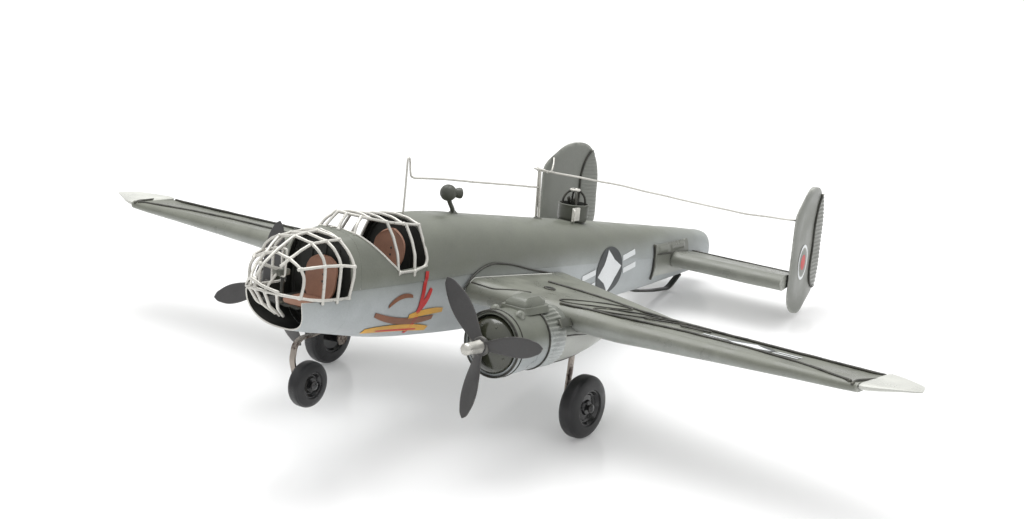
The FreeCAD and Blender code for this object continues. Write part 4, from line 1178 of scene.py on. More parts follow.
def makePanelWires():
    # wires soldered on the upper skin of both wings
    r = wing["wire"]
    fine = wing["fineWire"]
    front = overWing([(70, -11.2), (76, -10)] + wing["frontLine"])
    rear = overWing(wing["rearLine"])
    seam = overWing(seamCurve())
    rootLine = overWing([(24, -20.6), (36, -19.0), (46, -14.5), (51.5, -10.2)], 0.1)
    runs = [(front, r), (rear, r), (seam, r), (rootLine, fine)]
    runs += [(overWing(loopPoints(*loop)), fine) for loop in wing["loops"]]
    runs.append((overWing([(219.5, -8.8), (204, -1.5), (196, 1.0)]), fine))
    forms = [wireForm(path, girth, seed=210 + i, bend=3, sides=8)
             for i, (path, girth) in enumerate(runs)]
    a = np.linspace(0, 2 * np.pi, 18)
    x, y, radius = wing["washer"]
    washer = overWing(np.column_stack([x + radius * np.cos(a), y + radius * np.sin(a)]), 0.2)
    forms.append(wireForm(washer, 0.6, seed=225, bend=0.5, wobble=0))
    forms += onSide(forms, -1)
    return makePiece("wingPanelWires", forms, [blackLine], stands=["wing_panel_wires"],
                     sharp=60)


def makeRootPlate():
    # arched flange against the fuselage, with a bead round its curved edge
    crest = [(-27, 62), (-18, 69), (-4, 73), (8, 72), (31, 67), (53, 62), (62, 58.5)]
    ys = np.linspace(-27, 62, 60)
    top = eased(ys, crest, 1)
    base = np.minimum(np.interp(ys, [-27, 62], [60, 57]), top - 0.4)
    u = np.linspace(0, 1, 14)[None, :]
    z = base[:, None] + (top - base)[:, None] * u
    grid = hullSide(ys[:, None] + 0 * z, z, 0.95)
    sheet = sheetForm(grid, 0.9, centre=hull["middle"])
    bead = hullSide(ys, top, 1.1)
    foot = np.column_stack([bead[:, 0] * 0 + 23.2, ys, wingTop(23.2, ys) + 0.1])[4:50]
    return [sheet, wireForm(bead, 0.5, 1, seed=230, wobble=0.06),
            wireForm(foot, 0.42, 2, seed=231, wobble=0.05)]


for sign, side in handed:
    makePiece(side + "Wing", makeWing(sign), [wingPaint], stands=[side + "_wing"])
    makePiece(side + "WingTip", onSide([makeWingTip()], sign), [tipPaint],
              stands=[side + "_wing_tip"])
    makePiece(side + "WingRootPlate", onSide(makeRootPlate(), sign),
              [hullTopPaint, blackLine, tipPaint], stands=[side + "_wing_root_plate"],
              edge=0.1)
makePanelWires()
print("wings made")


# ---- engines

portHub = datumOf(joints["port_prop_spin"]["pos_m"])
engine = {
    "x": float(portHub[0]),
    "z": float(portHub[2]),
    "propY": float(portHub[1]),
    "cowlFront": -58.0,
    "cowlRear": -33.0,
    "flapsRear": -20.0,
    "nacelleEnd": 34.0,
    "nacelleDrop": 7.0,   # how far the barrel's axis falls to its end
    "radius": 15.5,
    "rearRadius": 14.6,
    "flutes": 40,
    # y and lift off the drum along each clasp, and the turns of the two clasps
    "clasp": [(-24.0, 0.1), (-20.5, 0.7), (-17.5, 0.9), (-14.5, -0.4), (-11.5, -2.4)],
    "claspTurns": (32, 148),
}


def roundEngine(radius, angle, y, axisZ=None):
    # points at a radius round the engine's axis, which axisZ may move up or down
    middle = engine["z"] if axisZ is None else axisZ
    return np.stack([engine["x"] + radius * np.cos(angle), y + 0 * angle,
                     middle + radius * np.sin(angle)], -1)


def makeCowling():
    # rolled drum: a thin rolled lip, with black bindings on it, behind it and at the rear
    front = engine["cowlFront"]
    rear = engine["cowlRear"]
    r = engine["radius"]
    lip = [(front + 3.2, r - 1.4), (front + 0.9, r - 1.2), (front + 0.1, r - 0.9), (front, r - 0.5),
           (front + 0.3, r - 0.15), (front + 1.6, r)]
    body = [(front + 3 + (rear - front - 4) * k / 8, r - 0.05 - 0.75 * k / 8) for k in range(9)]
    profile = np.array(lip + body + [(rear, engine["rearRadius"] + 0.1),
                                     (rear, engine["rearRadius"] - 1.0)])
    angle = roundTurn(96)
    grid = roundEngine(profile[:, 1:], angle, profile[:, :1])
    wave = dents(grid, 22, 0.12, 240)
    outward = grid - np.array([engine["x"], 0, engine["z"]])
    outward[..., 1] = 0
    grid = grid + outward / 15 * wave
    inner = grid - unit(outward) * 0.9
    forms = [ringForm(np.concatenate([grid, inner[::-1]]))]
    a = np.linspace(0, 2 * np.pi, 73)
    bands = ((front + 0.2, r - 0.3, 0.55, 1), (front + 3.4, r + 0.05, 0.3, 1),
             (rear + 0.1, engine["rearRadius"] + 0.3, 0.5, 1))
    for y, radius, girth, kind in bands:
        ring = roundEngine(radius, a, y)
        forms.append(wireForm(ring, girth, kind, bend=0.5, seed=242, wobble=0.05, swell=0))
    return forms


def makeFlaps():
    # fluted band: the radius rises and falls with the flutes, and flares a little to the rear
    u = np.linspace(0, 1, 12)[:, None]
    count = engine["flutes"] * 8
    angle = roundTurn(count)
    wave = np.cos(angle * engine["flutes"])
    ridge = 0.42 * signedPower(wave, 0.6) * np.sin(np.pi * np.clip(u, 0.06, 0.94)) ** 0.5
    radius = engine["rearRadius"] - 0.1 + ridge + 0.4 * u ** 2
    y = engine["cowlRear"] + 0.4 + (engine["flapsRear"] - engine["cowlRear"] - 0.4) * u
    grid = roundEngine(radius, angle, y)
    closing = grid[-1:] * 1.0
    closing[..., 0] = engine["x"] + (closing[..., 0] - engine["x"]) * 0.93
    closing[..., 2] = engine["z"] + (closing[..., 2] - engine["z"]) * 0.93
    band = sheetForm(np.concatenate([grid, closing]), 0.7, wrap=True,
                     centre=(engine["x"], -21, engine["z"]))
    # folded clasp that straps the band to the wing's leading edge, outboard and inboard
    clasps = []
    for turn in engine["claspTurns"]:
        c, s = cosSin(turn)
        strap = [(engine["x"] + (15.2 + k) * c, y0, engine["z"] + (15.2 + k) * s)
                 for y0, k in engine["clasp"]]
        profile = barOutline(2.1, 0.5, 0.3, 3)
        clasps.append(closedForm(sweep(bentPath(strap, 1.6, 0.7), profile, np.array([c, 0, s])), 1))
    return [band] + clasps


def makeNacelle():
    # barrel behind the flaps, whose radius and centre fall away to a blunt end under the wing
    u = np.linspace(0, 1, 40)[:, None]
    angle = roundTurn(72)
    y = engine["flapsRear"] - 1.0 + (engine["nacelleEnd"] - engine["flapsRear"] + 1.0) * u
    radius = np.maximum(14.2 * (1 - u ** 1.7) + 1.2 * u, 0.3)
    centre = engine["z"] - engine["nacelleDrop"] * u ** 1.5
    grid = roundEngine(radius, angle, y, centre)
    forms = [closedForm(grid + dents(grid, 20, 0.12, 250))]
    # black seams: one where the barrel meets the wing on each side, and one along its keel
    for turn in (8, 172, -58):
        s = np.linspace(0.02, 0.86, 24)
        r = 14.3 * (1 - s ** 1.7) + 1.2 * s
        seam = roundEngine(r, math.radians(turn), engine["flapsRear"] + 49 * s,
                           engine["z"] - engine["nacelleDrop"] * s ** 1.5)
        forms.append(wireForm(seam, 0.32, 1, seed=251 + turn % 7, wobble=0.05))
    return forms


dome = {
    "ahead": 6.0,         # how far it stands in front of the cowling
    "deep": 9.0,
    "radius": 13.6,
    "drop": 0.7,          # how far it hangs below the drum's axis
    "studs": 8,
    "studRing": 10.2,
}


def makeDome():
    # a cap whose section is a quarter ellipse, with a flange behind it, a bearing and studs
    front = engine["cowlFront"] - dome["ahead"]
    rows = [(front + 0.4, 0.3), (front + 0.2, 2.0), (front + 0.1, 3.4)]
    rows += [(front + dome["deep"] * (1 - math.cos(a)), dome["radius"] * math.sin(a))
             for a in np.linspace(0.3, 1.5, 16)]
    rows += [(front + 8.6, 13.9), (front + 8.9, 14.3), (front + 10.0, 14.3), (front + 10.2, 11)]
    centre = (engine["x"], 0, engine["z"] - dome["drop"])
    bearing = turned([(front - 0.5, 1.5), (front - 0.5, 2.6), (front - 0.1, 3.0), (front + 1.6, 3.1)],
                     centre, 32, 0)
    forms = [turned(rows, centre, 72, 0), bearing]
    for k in range(dome["studs"]):
        stud = roundEngine(dome["studRing"], 2 * np.pi * (k + 0.5) / dome["studs"], front + 3.2,
                           centre[2])
        forms.append(lump(stud, 0.55, 0, 260 + k))
    return forms


intake = {
    "y": -34.0,
    "foot": [(-6.4, -10), (6.4, -10), (7.4, -6), (7.4, 6), (5.2, 9.6), (-5.2, 9.6), (-7.4, 6),
             (-7.4, -6)],
    # height above the axis, size of the outline
    "levels": [(13.0, 1.12), (15.4, 1.06), (16.2, 1.04), (16.5, 0.9), (18.2, 0.86), (19.6, 0.66),
               (20.2, 0.58)],
    # turn round the drum, y
    "blisters": [(62, -48), (118, -48)],
    "blister": 2.5,
}


def makeIntake():
    # a bevelled scoop with a second step on top, lofted through rounded outlines, and two
    # pressed blisters ahead of it
    foot = roundedOutline(intake["foot"], 0.9, 3)
    rings = []
    for up, size in intake["levels"]:
        y = intake["y"] + foot[:, 1] * size
        droop = np.interp(y, [-44, -37, -18], [0.8, 0, 0]) * (up > 16.3)
        rings.append(np.column_stack([engine["x"] + foot[:, 0] * size, y, engine["z"] + up - droop]))
    rings = np.array(rings)
    forms = [closedForm(rings + dents(rings, 9, 0.16, 270))]
    for turn, y in intake["blisters"]:
        place = roundEngine(engine["radius"] - 0.5, math.radians(turn), y)
        forms.append(lump(place, intake["blister"], 0, 272 + turn, (1, 1.1, 1.1)))
    return forms


prop = {
    # distance from the shaft, half width
    "leaf": [(1.5, 2.6), (5, 2.9), (10, 3.9), (16, 4.9), (21, 5.15), (26, 4.7), (30.5, 3.4),
             (33.6, 1.9), (35, 0.3)],
    "reach": 35.0,
    # y from the blades, radius
    "spinner": [(-12.45, 0.2), (-12.4, 1.4), (-12.1, 2.1), (-11.4, 2.75), (-10.6, 2.95), (-7, 2.9),
                (-3.2, 2.95), (-2.2, 3.15), (-1.2, 3.2), (-1.1, 1.1)],
    "facets": 8,
    "turns": {"port": (-38.0, 79.0, 189.0), "starboard": (11.0, 131.0, 251.0)},
    "thick": 1.0,
}


def bladeForm(centre, turn, seed):
    # one leaf: at each radius a lens-shaped loop as wide as the leaf, pitched less and less
    # towards the tip and bowed slightly forward
    reach = prop["reach"]
    tip = reach - 4 * np.linspace(1, 0.02, 12)[1:] ** 1.6
    out = np.concatenate([np.linspace(1.5, reach - 4, 30), tip])
    half = eased(out, prop["leaf"], 1)[:, None]
    a = roundTurn(22)
    across = half * np.cos(a)
    thick = prop["thick"] / 2 * (0.55 + 0.45 * np.sqrt(np.clip(half / 5, 0.05, 1)))
    deep = thick * signedPower(np.sin(a), 0.45)
    pitch = np.radians(24 - 16 * (out / reach))[:, None]
    x = across * np.cos(pitch) - deep * np.sin(pitch)
    y = across * np.sin(pitch) + deep * np.cos(pitch) - 1.2 * (out[:, None] / reach) ** 2
    z = out[:, None] + 0 * a
    c, s = cosSin(turn)
    ring = np.stack([x * c + z * s, y, z * c - x * s], -1)
    return closedForm(ring + dents(ring, 11, 0.1, seed) + centre)


def makePropeller(side, sign):
    # three leaves and a flat hub on one piece, the spinner and the shaft on another
    centre = np.array([sign * engine["x"], engine["propY"], engine["z"]])
    forms = [bladeForm(centre, turn, 280 + k) for k, turn in enumerate(prop["turns"][side])]
    y = engine["propY"]
    hub = [(y - 1.1, 1.3), (y - 1.15, 3.4), (y - 0.8, 4.4), (y + 0.8, 4.5), (y + 1.1, 3.9),
           (y + 1.1, 1.3)]
    forms.append(turned(hub, (centre[0], 0, centre[2]), 40))
    makePiece(side + "Propeller", forms, [propPaint], body=side + "_prop_body",
              stands=[side + "_propeller"], sharp=55)
    # the spinner is filed by hand: a drum with eight soft facets and a domed, chamfered end
    rows = np.array(prop["spinner"])
    angle = roundTurn(40)
    facet = 1 - 0.045 * np.abs(np.sin(prop["facets"] / 2 * angle)) ** 0.7
    radius = rows[:, 1:] * facet
    spinner = np.stack([radius * np.cos(angle), rows[:, :1] + 0 * angle, radius * np.sin(angle)], -1)
    spinner = spinner + dents(spinner, 3.2, 0.14, 288) + centre
    shaft = turned([(y - 1.2, 0.3), (y - 1.2, 1.2), (y + 6, 1.2), (y + 8, 1.2), (y + 14, 1.2),
                    (y + 14, 0.3)], (centre[0], 0, centre[2]), 24)
    makePiece(side + "Spinner", [closedForm(spinner), shaft], [spinnerSilver],
              body=side + "_prop_body", stands=[side + "_prop_shaft"],
              sharp=50)


engineParts = [("Cowling", makeCowling, "cowling", [cowlPaint, blackLine], 0.0),
               ("CowlFlaps", makeFlaps, "cowl_flaps", [flapPaint, fittingPaint], 0.0),
               ("Nacelle", makeNacelle, "nacelle", [nacellePaint, blackLine], 0.0),
               ("EngineDome", makeDome, "engine_dome", [domePaint], 0.0),
               ("IntakeBox", makeIntake, "intake_box", [cowlPaint], 0.12)]
for label, maker, node, finishes, edge in engineParts:
    for sign, side in handed:
        makePiece(side + label, onSide(maker(), sign), finishes, stands=[side + "_" + node],
                  edge=edge)
for sign, side in handed:
    makePropeller(side, sign)
print("engines made")


# ---- undercarriage

gear = {
    "mainWide": 9.5,
    "noseWide": 7.6,
    "legReach": 10.2,      # from the middle of a main wheel in to its leg
    "legTop": 42.0,
    "mainX": 81.0,
    "noseRadius": 10.8,
    # y and z along the nose leg, from the hull down to the eye round its axle
    "noseLeg": [(-88, 45.4), (-98, 43.6), (-105.6, 43.0), (-109.4, 40), (-110.2, 33), (-107.6, 26),
                (-105.2, 20.4)],
    "noseEye": (-105, 22.7),
    "hubShare": 0.58,
}


def tyreForm(centre, radius, wide):
    # section of the tyre, from the bead over the shoulder and the crown to the other bead, with
    # a shallow groove near each shoulder
    hub = radius * gear["hubShare"]
    a = np.linspace(-1, 1, 41)
    crown = hub + (radius - hub) * (1 - np.abs(a) ** 3.6) ** 0.42
    groove = 0.28 * np.exp(-((np.abs(a) - 0.62) / 0.05) ** 2)
    groove = groove + 0.196 * np.exp(-((np.abs(a) - 0.9) / 0.03) ** 2)
    outer = np.column_stack([a * wide / 2, np.maximum(crown - groove, hub)])
    inner = np.array([(wide * 0.36, hub - 0.7), (0, hub - 0.9), (-wide * 0.36, hub - 0.7)])
    profile = np.vstack([outer, inner])
    angle = roundTurn(72)
    grid = np.stack([profile[:, :1] + 0 * angle, profile[:, 1:] * np.cos(angle),
                     profile[:, 1:] * np.sin(angle)], -1) + centre
    return ringForm(grid)


def hubForms(centre, radius, wide, standOff, outward):
    # a dished, stepped disc on each face, with a boss in the middle
    hub = radius * gear["hubShare"] + 0.1
    half = wide / 2
    face = [(half - 1.5, 2.4), (half - 1.4, 3.2), (half - 2.5, 3.8), (half - 2.7, hub - 3.0),
            (half - 2.2, hub - 2.4), (half - 2.2, hub - 1.9), (half - 1.3, hub - 1.3),
            (half - 0.7, hub - 0.9), (half - 0.7, hub - 0.1), (half - 1.4, hub)]
    back = [(-half + 1.4, hub), (-half + 0.7, hub - 0.1), (-half + 0.7, hub - 0.9),
            (-half + 2.0, hub - 1.8), (-half + 2.4, 3.2), (-half - standOff + 0.1, 2.8),
            (-half - standOff, 1.5)]
    profile = np.array(face + back)
    profile = profile * np.array([outward, 1])
    return [turned(profile, centre, 56, 0, "x")]


def makeWheels():
    # a tyre, a hub and a pin for each wheel; the pin stays on the body
    nose = datumOf(joints["nose_wheel_roll"]["pos_m"])
    main = datumOf(joints["port_wheel_roll"]["pos_m"])
    mainRadius = float(axle[2])
    wheels = [("nose", nose, gear["noseRadius"], gear["noseWide"], 0.0, 1, 1.3),
              ("port", main, mainRadius, gear["mainWide"], 4.0, 1, 5.3),
              ("starboard", mirrored(main), mainRadius, gear["mainWide"], 4.0, -1, 5.3)]
    for label, centre, radius, wide, standOff, outward, reach in wheels:
        body = label + "_wheel_body"
        makePiece(label + "Tyre", [tyreForm(centre, radius, wide)], [tyreRubber], body=body,
                  stands=[label + "_tyre"], sharp=60)
        makePiece(label + "WheelHub", hubForms(centre, radius, wide, standOff, outward), [hubBlack],
                  body=body, stands=[label + "_wheel_hub"], sharp=35)
        half = wide / 2
        rows = [(-half - reach - 0.3, 0.3), (-half - reach - 0.3, 1.25), (half - 0.1, 1.25),
                (half - 0.1, 2.1), (half + 0.6, 2.15), (half + 1.1, 1.7), (half + 1.4, 0.9),
                (half + 1.5, 0.2)]
        pin = turned(np.array(rows) * np.array([outward, 1]), centre, 24, 0, "x")
        makePiece(label + "AxlePin", [pin], [hubBlack], stands=[label + "_axle_pin"],
                  sharp=35)


def stripForm(path, wide, thick, centreX, seed):
    # flat strip, bent along a path in the y-z plane, with softened corners
    points = [(centreX, y, z) for y, z in path]
    profile = barOutline(wide / 2, thick / 2, 0.35, 3)
    line = bentPath(points, 2.6, 0.8)
    across = np.array([1.0, 0, 0])
    up = np.cross(unit(np.gradient(line, axis=0)), across)
    ring = line[:, None] + profile[None, :, :1] * across + profile[None, :, 1:] * up[:, None]
    return closedForm(ring + dents(ring, 8, 0.08, seed))


def makeLegs():
    # each main leg is an upright strip with an eye round its axle, and the nose leg is bent
    for sign, side in handed:
        x = sign * (gear["mainX"] - gear["legReach"] + 0.55)
        low = float(axle[2]) - 3.4
        ys = np.array([0, 0.2, 0.9, 1.2])
        zs = np.array([low, 22, 34, gear["legTop"]])
        line = bentPath([(x, y, z) for y, z in zip(ys, zs)], 3, 0.8)
        profile = barOutline(0.62, 2.0, 0.4, 3)
        ring = line[:, None] + np.stack([profile[:, 0], profile[:, 1], 0 * profile[:, 0]], -1)[None]
        eye = turned([(-1.0, 0.5), (-1.0, 3.0), (-0.6, 3.2), (0.6, 3.2), (1.0, 3.0), (1.0, 0.5)],
                     (x, 0, float(axle[2])), 28, 0, "x")
        makePiece(side + "MainLeg", [closedForm(ring + dents(ring, 7, 0.1, 300)), eye], [legSteel],
                  stands=[side + "_main_leg"], sharp=50)
    x = -(gear["noseWide"] / 2 + 0.35) - 1.7
    leg = stripForm(gear["noseLeg"], 3.2, 1.15, x, 302)
    eye = turned([(-0.2, 0.5), (-0.2, 2.9), (0.1, 3.1), (1.0, 3.1), (1.3, 2.9), (1.3, 0.5)],
                 (x, *gear["noseEye"]), 28, 0, "x")
    makePiece("noseLeg", [leg, eye], [legSteel], stands=["nose_leg"], sharp=50)


def makeSkid():
    # the skid's elbow sits on the floor, whose height at y follows from the tip angle
    def floorAt(y):
        return axle[2] + (y * tipSin - axle[2]) / tipCos

    elbow = floorAt(201.5) + 0.7
    path = [(147, 41.6), (164, elbow + 2.6), (184, elbow + 0.6), (200.4, elbow + 0.1),
            (204.0, elbow + 1.6), (212.4, elbow + 7.6)]
    forms = [stripForm(path, 3.6, 1.2, 0, 305)]
    forms.append(lump((0, 148, 41.2), 1.6, 0, 306, (1.3, 1.4, 0.5)))
    return makePiece("tailSkid", forms, [blackLine], stands=["tail_skid"],
                     sharp=50)


makeWheels()
makeLegs()
makeSkid()
print("undercarriage made")


# ---- tail

tail = {
    "half": 79.0,
    "row": (176.0, 216.0, 57.5, 9.0),
    "finX": 80.5,
    "finY": 211.0,
    "toe": 10.0,
    "finThick": 3.0,
    "flutePitch": 2.3,
    "fin": [(-26, 95), (-9, 107), (6, 108.5), (14, 104), (20, 93), (22, 60), (17, 48.5), (-4, 36.8),
            (-17, 39.5), (-25, 46)],
    # z, front and rear of the ribbed rudder panel
    "rudder": [(49.8, 14.5, 17.0), (54, 8.0, 19.4), (60, 5.6, 20.8), (75, 5.6, 20.6), (90, 5.8, 19.6),
               (98, 8.6, 16.8), (103.4, 12.6, 14.0)],
}


def makeStabiliser():
    # a tapered section each side, with one black seam wire near its rear
    def rowAt(xs):
        return [np.full(len(xs), value) for value in tail["row"]]

    forms = []
    for sign in (1, -1):
        xs = np.linspace(10.5, tail["half"] - 0.6, 50)
        rings = foilRings(xs, rowAt)
        rings = rings + dents(rings, 26, 0.2, 310) * np.array([0, 0.3, 1])
        # its outer end runs on to the inner face of the toed fin
        lean = math.tan(math.radians(tail["toe"]))
        finFace = tail["finX"] + (tail["finY"] - rings[..., 1]) * lean - 1.3
        share = np.linspace(0, 1, 50)[:, None] ** 3
        rings[..., 0] = rings[..., 0] + share * (finFace - rings[..., 0])
        line = np.column_stack([xs, 205.6 + 0 * xs,
                                57.5 + foilRise(np.full(50, 0.74), 40, 9.0) + 0.4])
        forms += onSide([closedForm(rings), wireForm(line, 0.5, 1, seed=312, wobble=0.12)], sign)
    return makePiece("tailplane", forms, [tailPaint, blackLine], stands=["stabiliser"])


def makeRootBrackets():
    # folded plate beside the tail with two pressed rectangles above the tailplane, and a dark
    # gap line at its front
    forms = []
    ys = np.linspace(158, 198, 60)[:, None]
    zs = np.linspace(50, 67, 34)[None, :]

    def pressed(y, z, y0, y1):
        inside = step(y, y0, y0 + 0.8) * (1 - step(y, y1 - 0.8, y1))
        return inside * step(z, 62.6, 63.2) * (1 - step(z, 65.2, 65.8))

    lift = 1.0 + 0.45 * (pressed(ys, zs, 162, 173) + pressed(ys, zs, 176, 193))
    fold = 0.9 * np.exp(-((ys - 158) / 1.2) ** 2)
    grid = hullSide(ys + 0 * zs, zs + 0 * ys, lift + fold)
    plate = sheetForm(grid, 0.9, centre=(0, 178, 58))
    edge = hullSide(np.full(20, 157.6), np.linspace(48.6, 67, 20), 0.8)
    tuck = hullSide(np.linspace(158.4, 177, 16), np.linspace(62, 61.2, 16), 1.6)
    for sign in (1, -1):
        made = [plate, wireForm(edge, 0.55, 1, seed=320, wobble=0.12),
                wireForm(tuck, 0.35, 1, seed=321, wobble=0.05)]
        forms += onSide(made, sign)
    return makePiece("tailplaneBrackets", forms, [tailPaint, blackLine],
                     stands=["stabiliser_root_plates"], edge=0.1)


def finPlace(p, sign):
    # p holds (along, up, height off the fin's middle plane); the fin is toed about its middle
    a = math.radians(tail["toe"])
    along = p[..., 0]
    out = p[..., 2]
    x = out * math.cos(a) - along * math.sin(a)
    y = out * math.sin(a) + along * math.cos(a)
    return np.stack([sign * (tail["finX"] + x), tail["finY"] + y, p[..., 1]], -1)


def finForm(sign):
    # a plate thin at its leading edge: the thickness eases down over the folded front
    edge = evened(roundedOutline(tail["fin"], 6, 7), 110)
    middle = edge.mean(0)
    stack = []
    scale = np.linspace(0.03, 1, 12) ** 0.8
    for side, order in ((1, scale), (-1, scale[::-1])):
        for s in order:
            flat = middle + (edge - middle) * s
            front = np.interp(flat[:, 1], [36, 50, 94, 109], [-12, -25, -26, -6])
            fold = step(flat[:, 0], front - 1, front + 7)
            half = tail["finThick"] / 2 * (0.35 + 0.65 * fold) - 0.35 * step(s, 0.955, 1)
            stack.append(np.column_stack([flat, side * half]))
    grid = np.array(stack)
    grid[..., 2] += dents(grid, 24, 0.16, 330)[..., 0]
    return closedForm(finPlace(grid, sign))


def rudderForms(sign):
    # ribbed panel on each face: rows up the fin, each a shallow arch from front to rear whose
    # height rises and falls with the flutes
    low = tail["rudder"][0][0]
    high = tail["rudder"][-1][0]
    z = np.linspace(low, high, 190)
    front = eased(z, tail["rudder"], 1)
    rear = eased(z, tail["rudder"], 2)
    t = np.linspace(0, 1, 13)
    forms = []
    for face in (1, -1):
        flute = 0.26 * np.cos(z * 2 * np.pi / tail["flutePitch"])[:, None]
        arch = np.maximum(np.sin(np.pi * t), 0) ** 0.35
        height = tail["finThick"] / 2 + (0.85 + flute) * arch[None, :]
        along = front[:, None] + (rear - front)[:, None] * t[None, :]
        outer = np.stack([along, z[:, None] + 0 * along, face * height], -1)
        under = np.stack([along, z[:, None] + 0 * along, face * (height * 0 + 1.2)], -1)[:, ::-1]
        forms.append(closedForm(finPlace(np.concatenate([outer, under], 1), sign)))
        s = np.linspace(0.01, 0.99, 50)
        zz = low + (high - low) * s
        bead = np.stack([eased(zz, tail["rudder"], 1) - 0.3, zz, face * (1.95 + 0 * zz)], -1)
        forms.append(wireForm(finPlace(bead, sign), 0.62, 1, seed=335, wobble=0.08))
    return forms


makeStabiliser()
makeRootBrackets()
for sign, side in handed:
    makePiece(side + "Fin", [finForm(sign)], [finPaint], stands=[side + "_fin"],
              sharp=50)
    makePiece(side + "Rudder", rudderForms(sign), [finPaint, blackLine], stands=[side + "_rudder"],
              sharp=60)
print("tail made")


# ---- painted markings: plain shapes that lie a hair above the skin

marks = {
    "lift": 0.07,
    "film": 0.05,
    "tilt": 10.0,
    "side": (109.5, 57.8),
    "disc": 13.2,
    "wing": (158, 14.2),
    "fin": (-8.5, 67),
    # start, end, bow, width, finish, taper
    "strokes": [((-53.8, 74.5), (-58.5, 44.5), 0.8, 2.6, 0, 0.95),
                ((-57.2, 55), (-49.0, 66), -0.8, 2.8, 0, 0.85),
                ((-86, 57), (-44, 51.5), -2.6, 3.2, 1, 0.85),
                ((-62, 53.6), (-38, 54.4), 0.6, 3.0, 2, 0.85),
                ((-88, 48.6), (-44, 45.4), 1.2, 3.6, 2, 0.85),
                ((-80, 48.0), (-52, 46.0), 0.2, 1.1, 3, 0.85),
                ((-78, 60), (-62, 63.5), 2.2, 2.2, 1, 0.85)],
}


def filmForm(place, loop, finish, rings=7):
    # a thin film inside a closed outline: rings that shrink to its middle, laid by place
    edge = np.array(loop, float)
    middle = edge.mean(0)
    scale = np.linspace(0.02, 1, rings)[:, None, None]
    flat = middle + (edge - middle)[None] * scale
    high = place(flat, marks["lift"])
    low = place(flat, marks["lift"] - marks["film"])[::-1]
    return closedForm(np.concatenate([high, low]), finish)


def ringPoints(radius, count=48, squeeze=1.0):
    # a circle, or an ellipse when squeezed
    a = np.arange(count) * 2 * np.pi / count
    return np.column_stack([radius * np.cos(a), radius * np.sin(a) * squeeze])


def diamondPoints(wide, tall, waist=0.62):
    # a four-sided lozenge with slightly hollow sides
    corners = []
    for k in range(4):
        a = k * np.pi / 2
        b = a + np.pi / 4
        corners.append((wide / 2 * math.cos(a), tall / 2 * math.sin(a)))
        corners.append((wide / 2 * waist * math.cos(b), tall / 2 * waist * math.sin(b)))
    return evened(np.array(corners), 64)


def barPoints(x0, x1, z0, z1):
    # a rectangle with evenly spaced points
    return evened(np.array([(x0, z0), (x1, z0), (x1, z1), (x0, z1)]), 40)


def raised(place, more):
    # the same placing, a little further off the skin
    return lambda p, up: place(p, up + more)


def markSet(place):
    # a dark disc with a white lozenge, and two pairs of thin white stripes beside it
    r = marks["disc"]
    forms = [filmForm(place, ringPoints(r), 1)]
    forms.append(filmForm(raised(place, 0.06), diamondPoints(r * 1.8, r * 1.8), 0))
    for low, high in ((2.0, 5.0), (-5.0, -2.0)):
        for start, end in ((r + 0.8, r + 14), (-r - 14, -r - 0.8)):
            forms.append(filmForm(place, barPoints(start, end, low, high), 0))
    return forms


def sidePlace(sign):
    # (along, up) is turned by the tilt, moved to the side mark and laid on the skin
    c, s = cosSin(marks["tilt"])

    def place(p, up):
        y = marks["side"][0] + p[..., 0] * c - p[..., 1] * s
        z = marks["side"][1] + p[..., 0] * s + p[..., 1] * c
        return hullSide(y, z, up + 0.28) * np.array([sign, 1, 1])

    return place


def wingPlace(p, up):
    # (out, back) is moved to the wing mark and laid on the upper skin
    x = marks["wing"][0] + p[..., 0] * 0.95
    y = marks["wing"][1] + p[..., 1] * 0.62
    return np.stack([x, y, wingTop(x, y) - 0.2 + up], -1)


def flourishForm(start, end, bow, wide, finish, taper):
    # a brush stroke on the port side: a strip along a bowed line that thins towards its ends
    t = np.linspace(0, 1, 40)[:, None]
    v = np.linspace(-1, 1, 7)[None, :]
    a = np.array(start, float)
    b = np.array(end, float)
    run = b - a
    square = unit(np.array([-run[1], run[0]]))
    half = wide / 2 * np.sin(np.pi * np.clip(t, 0.03, 0.97)) ** (1 - taper)
    off = bow * 4 * t * (1 - t) + half * v
    y = a[0] + run[0] * t + square[0] * off
    z = a[1] + run[1] * t + square[1] * off
    lift = marks["lift"] + 0.3 + 0.5 * step(z, 69.0, 71.5)
    top = hullSide(y, z, lift)
    under = hullSide(y, z, lift - 0.06)[:, ::-1]
    return closedForm(np.concatenate([top, under], 1), finish)


def makeMarkings():
    # marks on the hull, one wing, the nose and both fins
    makePiece("sideMarkings", markSet(sidePlace(1)) + markSet(sidePlace(-1)), [markWhite, markDark],
              sharp=60)
    makePiece("wingMarking", markSet(wingPlace), [markWhite, markDark], sharp=60)
    strokes = [flourishForm(*stroke) for stroke in marks["strokes"]]
    makePiece("noseFlourish", strokes, [markRed, markBrown, markAmber, markRed],
              sharp=60)

    def finOuter(sign):
        def place(p, up):
            along = p[..., 0] + marks["fin"][0]
            height = p[..., 1] + marks["fin"][1]
            return finPlace(np.stack([along, height, 0 * along + 1.62 + up], -1), sign)

        return place

    for sign, side in handed:
        place = finOuter(sign)
        forms = [filmForm(place, ringPoints(7.6, squeeze=1.3), 0),
                 filmForm(raised(place, 0.06), ringPoints(6.4, squeeze=1.3), 1),
                 filmForm(raised(place, 0.12), ringPoints(3.6, squeeze=1.2), 2)]
        makePiece(side + "FinRing", forms, [markWhite, finPaint, markRed],
                  sharp=60)


makeMarkings()
print("markings made")


# ---- stage, light and camera

studio = {
    "floor": 6.0,
    "cameraAt": (0.56315, -0.74692, 0.37247),
    "cameraTurn": (71.5, 0.0, 36.79),
    "lens": 67.75,
    "shift": (-0.00625, -0.0013),
}


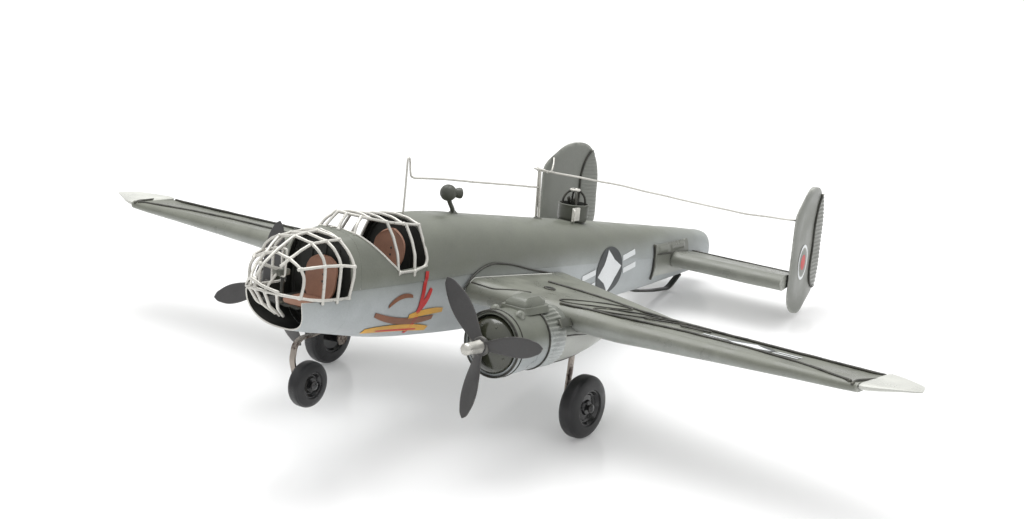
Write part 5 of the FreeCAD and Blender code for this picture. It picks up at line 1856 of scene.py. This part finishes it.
def makeStage():
    # a wide pale floor just under the wheels
    u = np.linspace(-1, 1, 5)[:, None] * studio["floor"]
    v = np.linspace(-1, 1, 5)[None, :] * studio["floor"]
    points = np.stack([u + 0 * v, v + 0 * u, 0 * u + 0 * v - 0.0001], -1).reshape(-1, 3)
    mesh = bpy.data.meshes.new("floor")
    mesh.from_pydata(points.tolist(), [], quads(5, 5).tolist())
    floor = bpy.data.objects.new("floor", mesh)
    bpy.context.scene.collection.objects.link(floor)
    material = bpy.data.materials.new("paleFloor")
    material.use_nodes = True
    shader = material.node_tree.nodes["Principled BSDF"]
    shader.inputs["Base Color"].default_value = (0.8, 0.8, 0.8, 1)
    shader.inputs["Emission Color"].default_value = (1, 1, 1, 1)
    shader.inputs["Emission Strength"].default_value = 0.16
    shader.inputs["Roughness"].default_value = 0.14
    shader.inputs["Specular IOR Level"].default_value = 0.35
    mesh.materials.append(material)


def makeLight(name, at, aim, size, power):
    # a rectangular lamp turned to face its aim
    lamp = bpy.data.lights.new(name, "AREA")
    lamp.shape = "RECTANGLE"
    lamp.size = size[0]
    lamp.size_y = size[1]
    lamp.energy = power
    light = bpy.data.objects.new(name, lamp)
    bpy.context.scene.collection.objects.link(light)
    way = np.array(aim, float) - np.array(at, float)
    light.location = at
    light.rotation_euler = (math.atan2(math.hypot(way[0], way[1]), -way[2]), 0,
                            math.atan2(way[0], -way[1]) + math.pi if way[2] > 0 else
                            math.atan2(-way[0], way[1]))
    return light


def makeStudio():
    # a bright world that pales upwards, one lamp overhead and the camera
    world = bpy.data.worlds.new("studioAir")
    world.use_nodes = True
    tree = world.node_tree
    up = add(tree, "SeparateXYZ", {0: add(tree, "TexCoord").outputs["Generated"]}).outputs["Z"]
    glow = remap(tree, up, -0.1, 0.9, 0.62, 1.05)
    tree.links.new(glow, tree.nodes["Background"].inputs["Strength"])
    tree.nodes["Background"].inputs["Color"].default_value = (1, 1, 1, 1)
    bpy.context.scene.world = world
    makeLight("overhead", (-0.25, 0.35, 1.3), (0, 0, 0.05), (1.2, 0.9), 14)
    camera = bpy.data.cameras.new("camera")
    camera.lens = studio["lens"]
    camera.sensor_width = 36
    camera.shift_x, camera.shift_y = studio["shift"]
    viewer = bpy.data.objects.new("camera", camera)
    viewer.location = studio["cameraAt"]
    viewer.rotation_euler = [math.radians(value) for value in studio["cameraTurn"]]
    bpy.context.scene.collection.objects.link(viewer)
    bpy.context.scene.camera = viewer
    bpy.context.scene.view_settings.view_transform = "Standard"


makeStage()
makeStudio()
print("studio made")
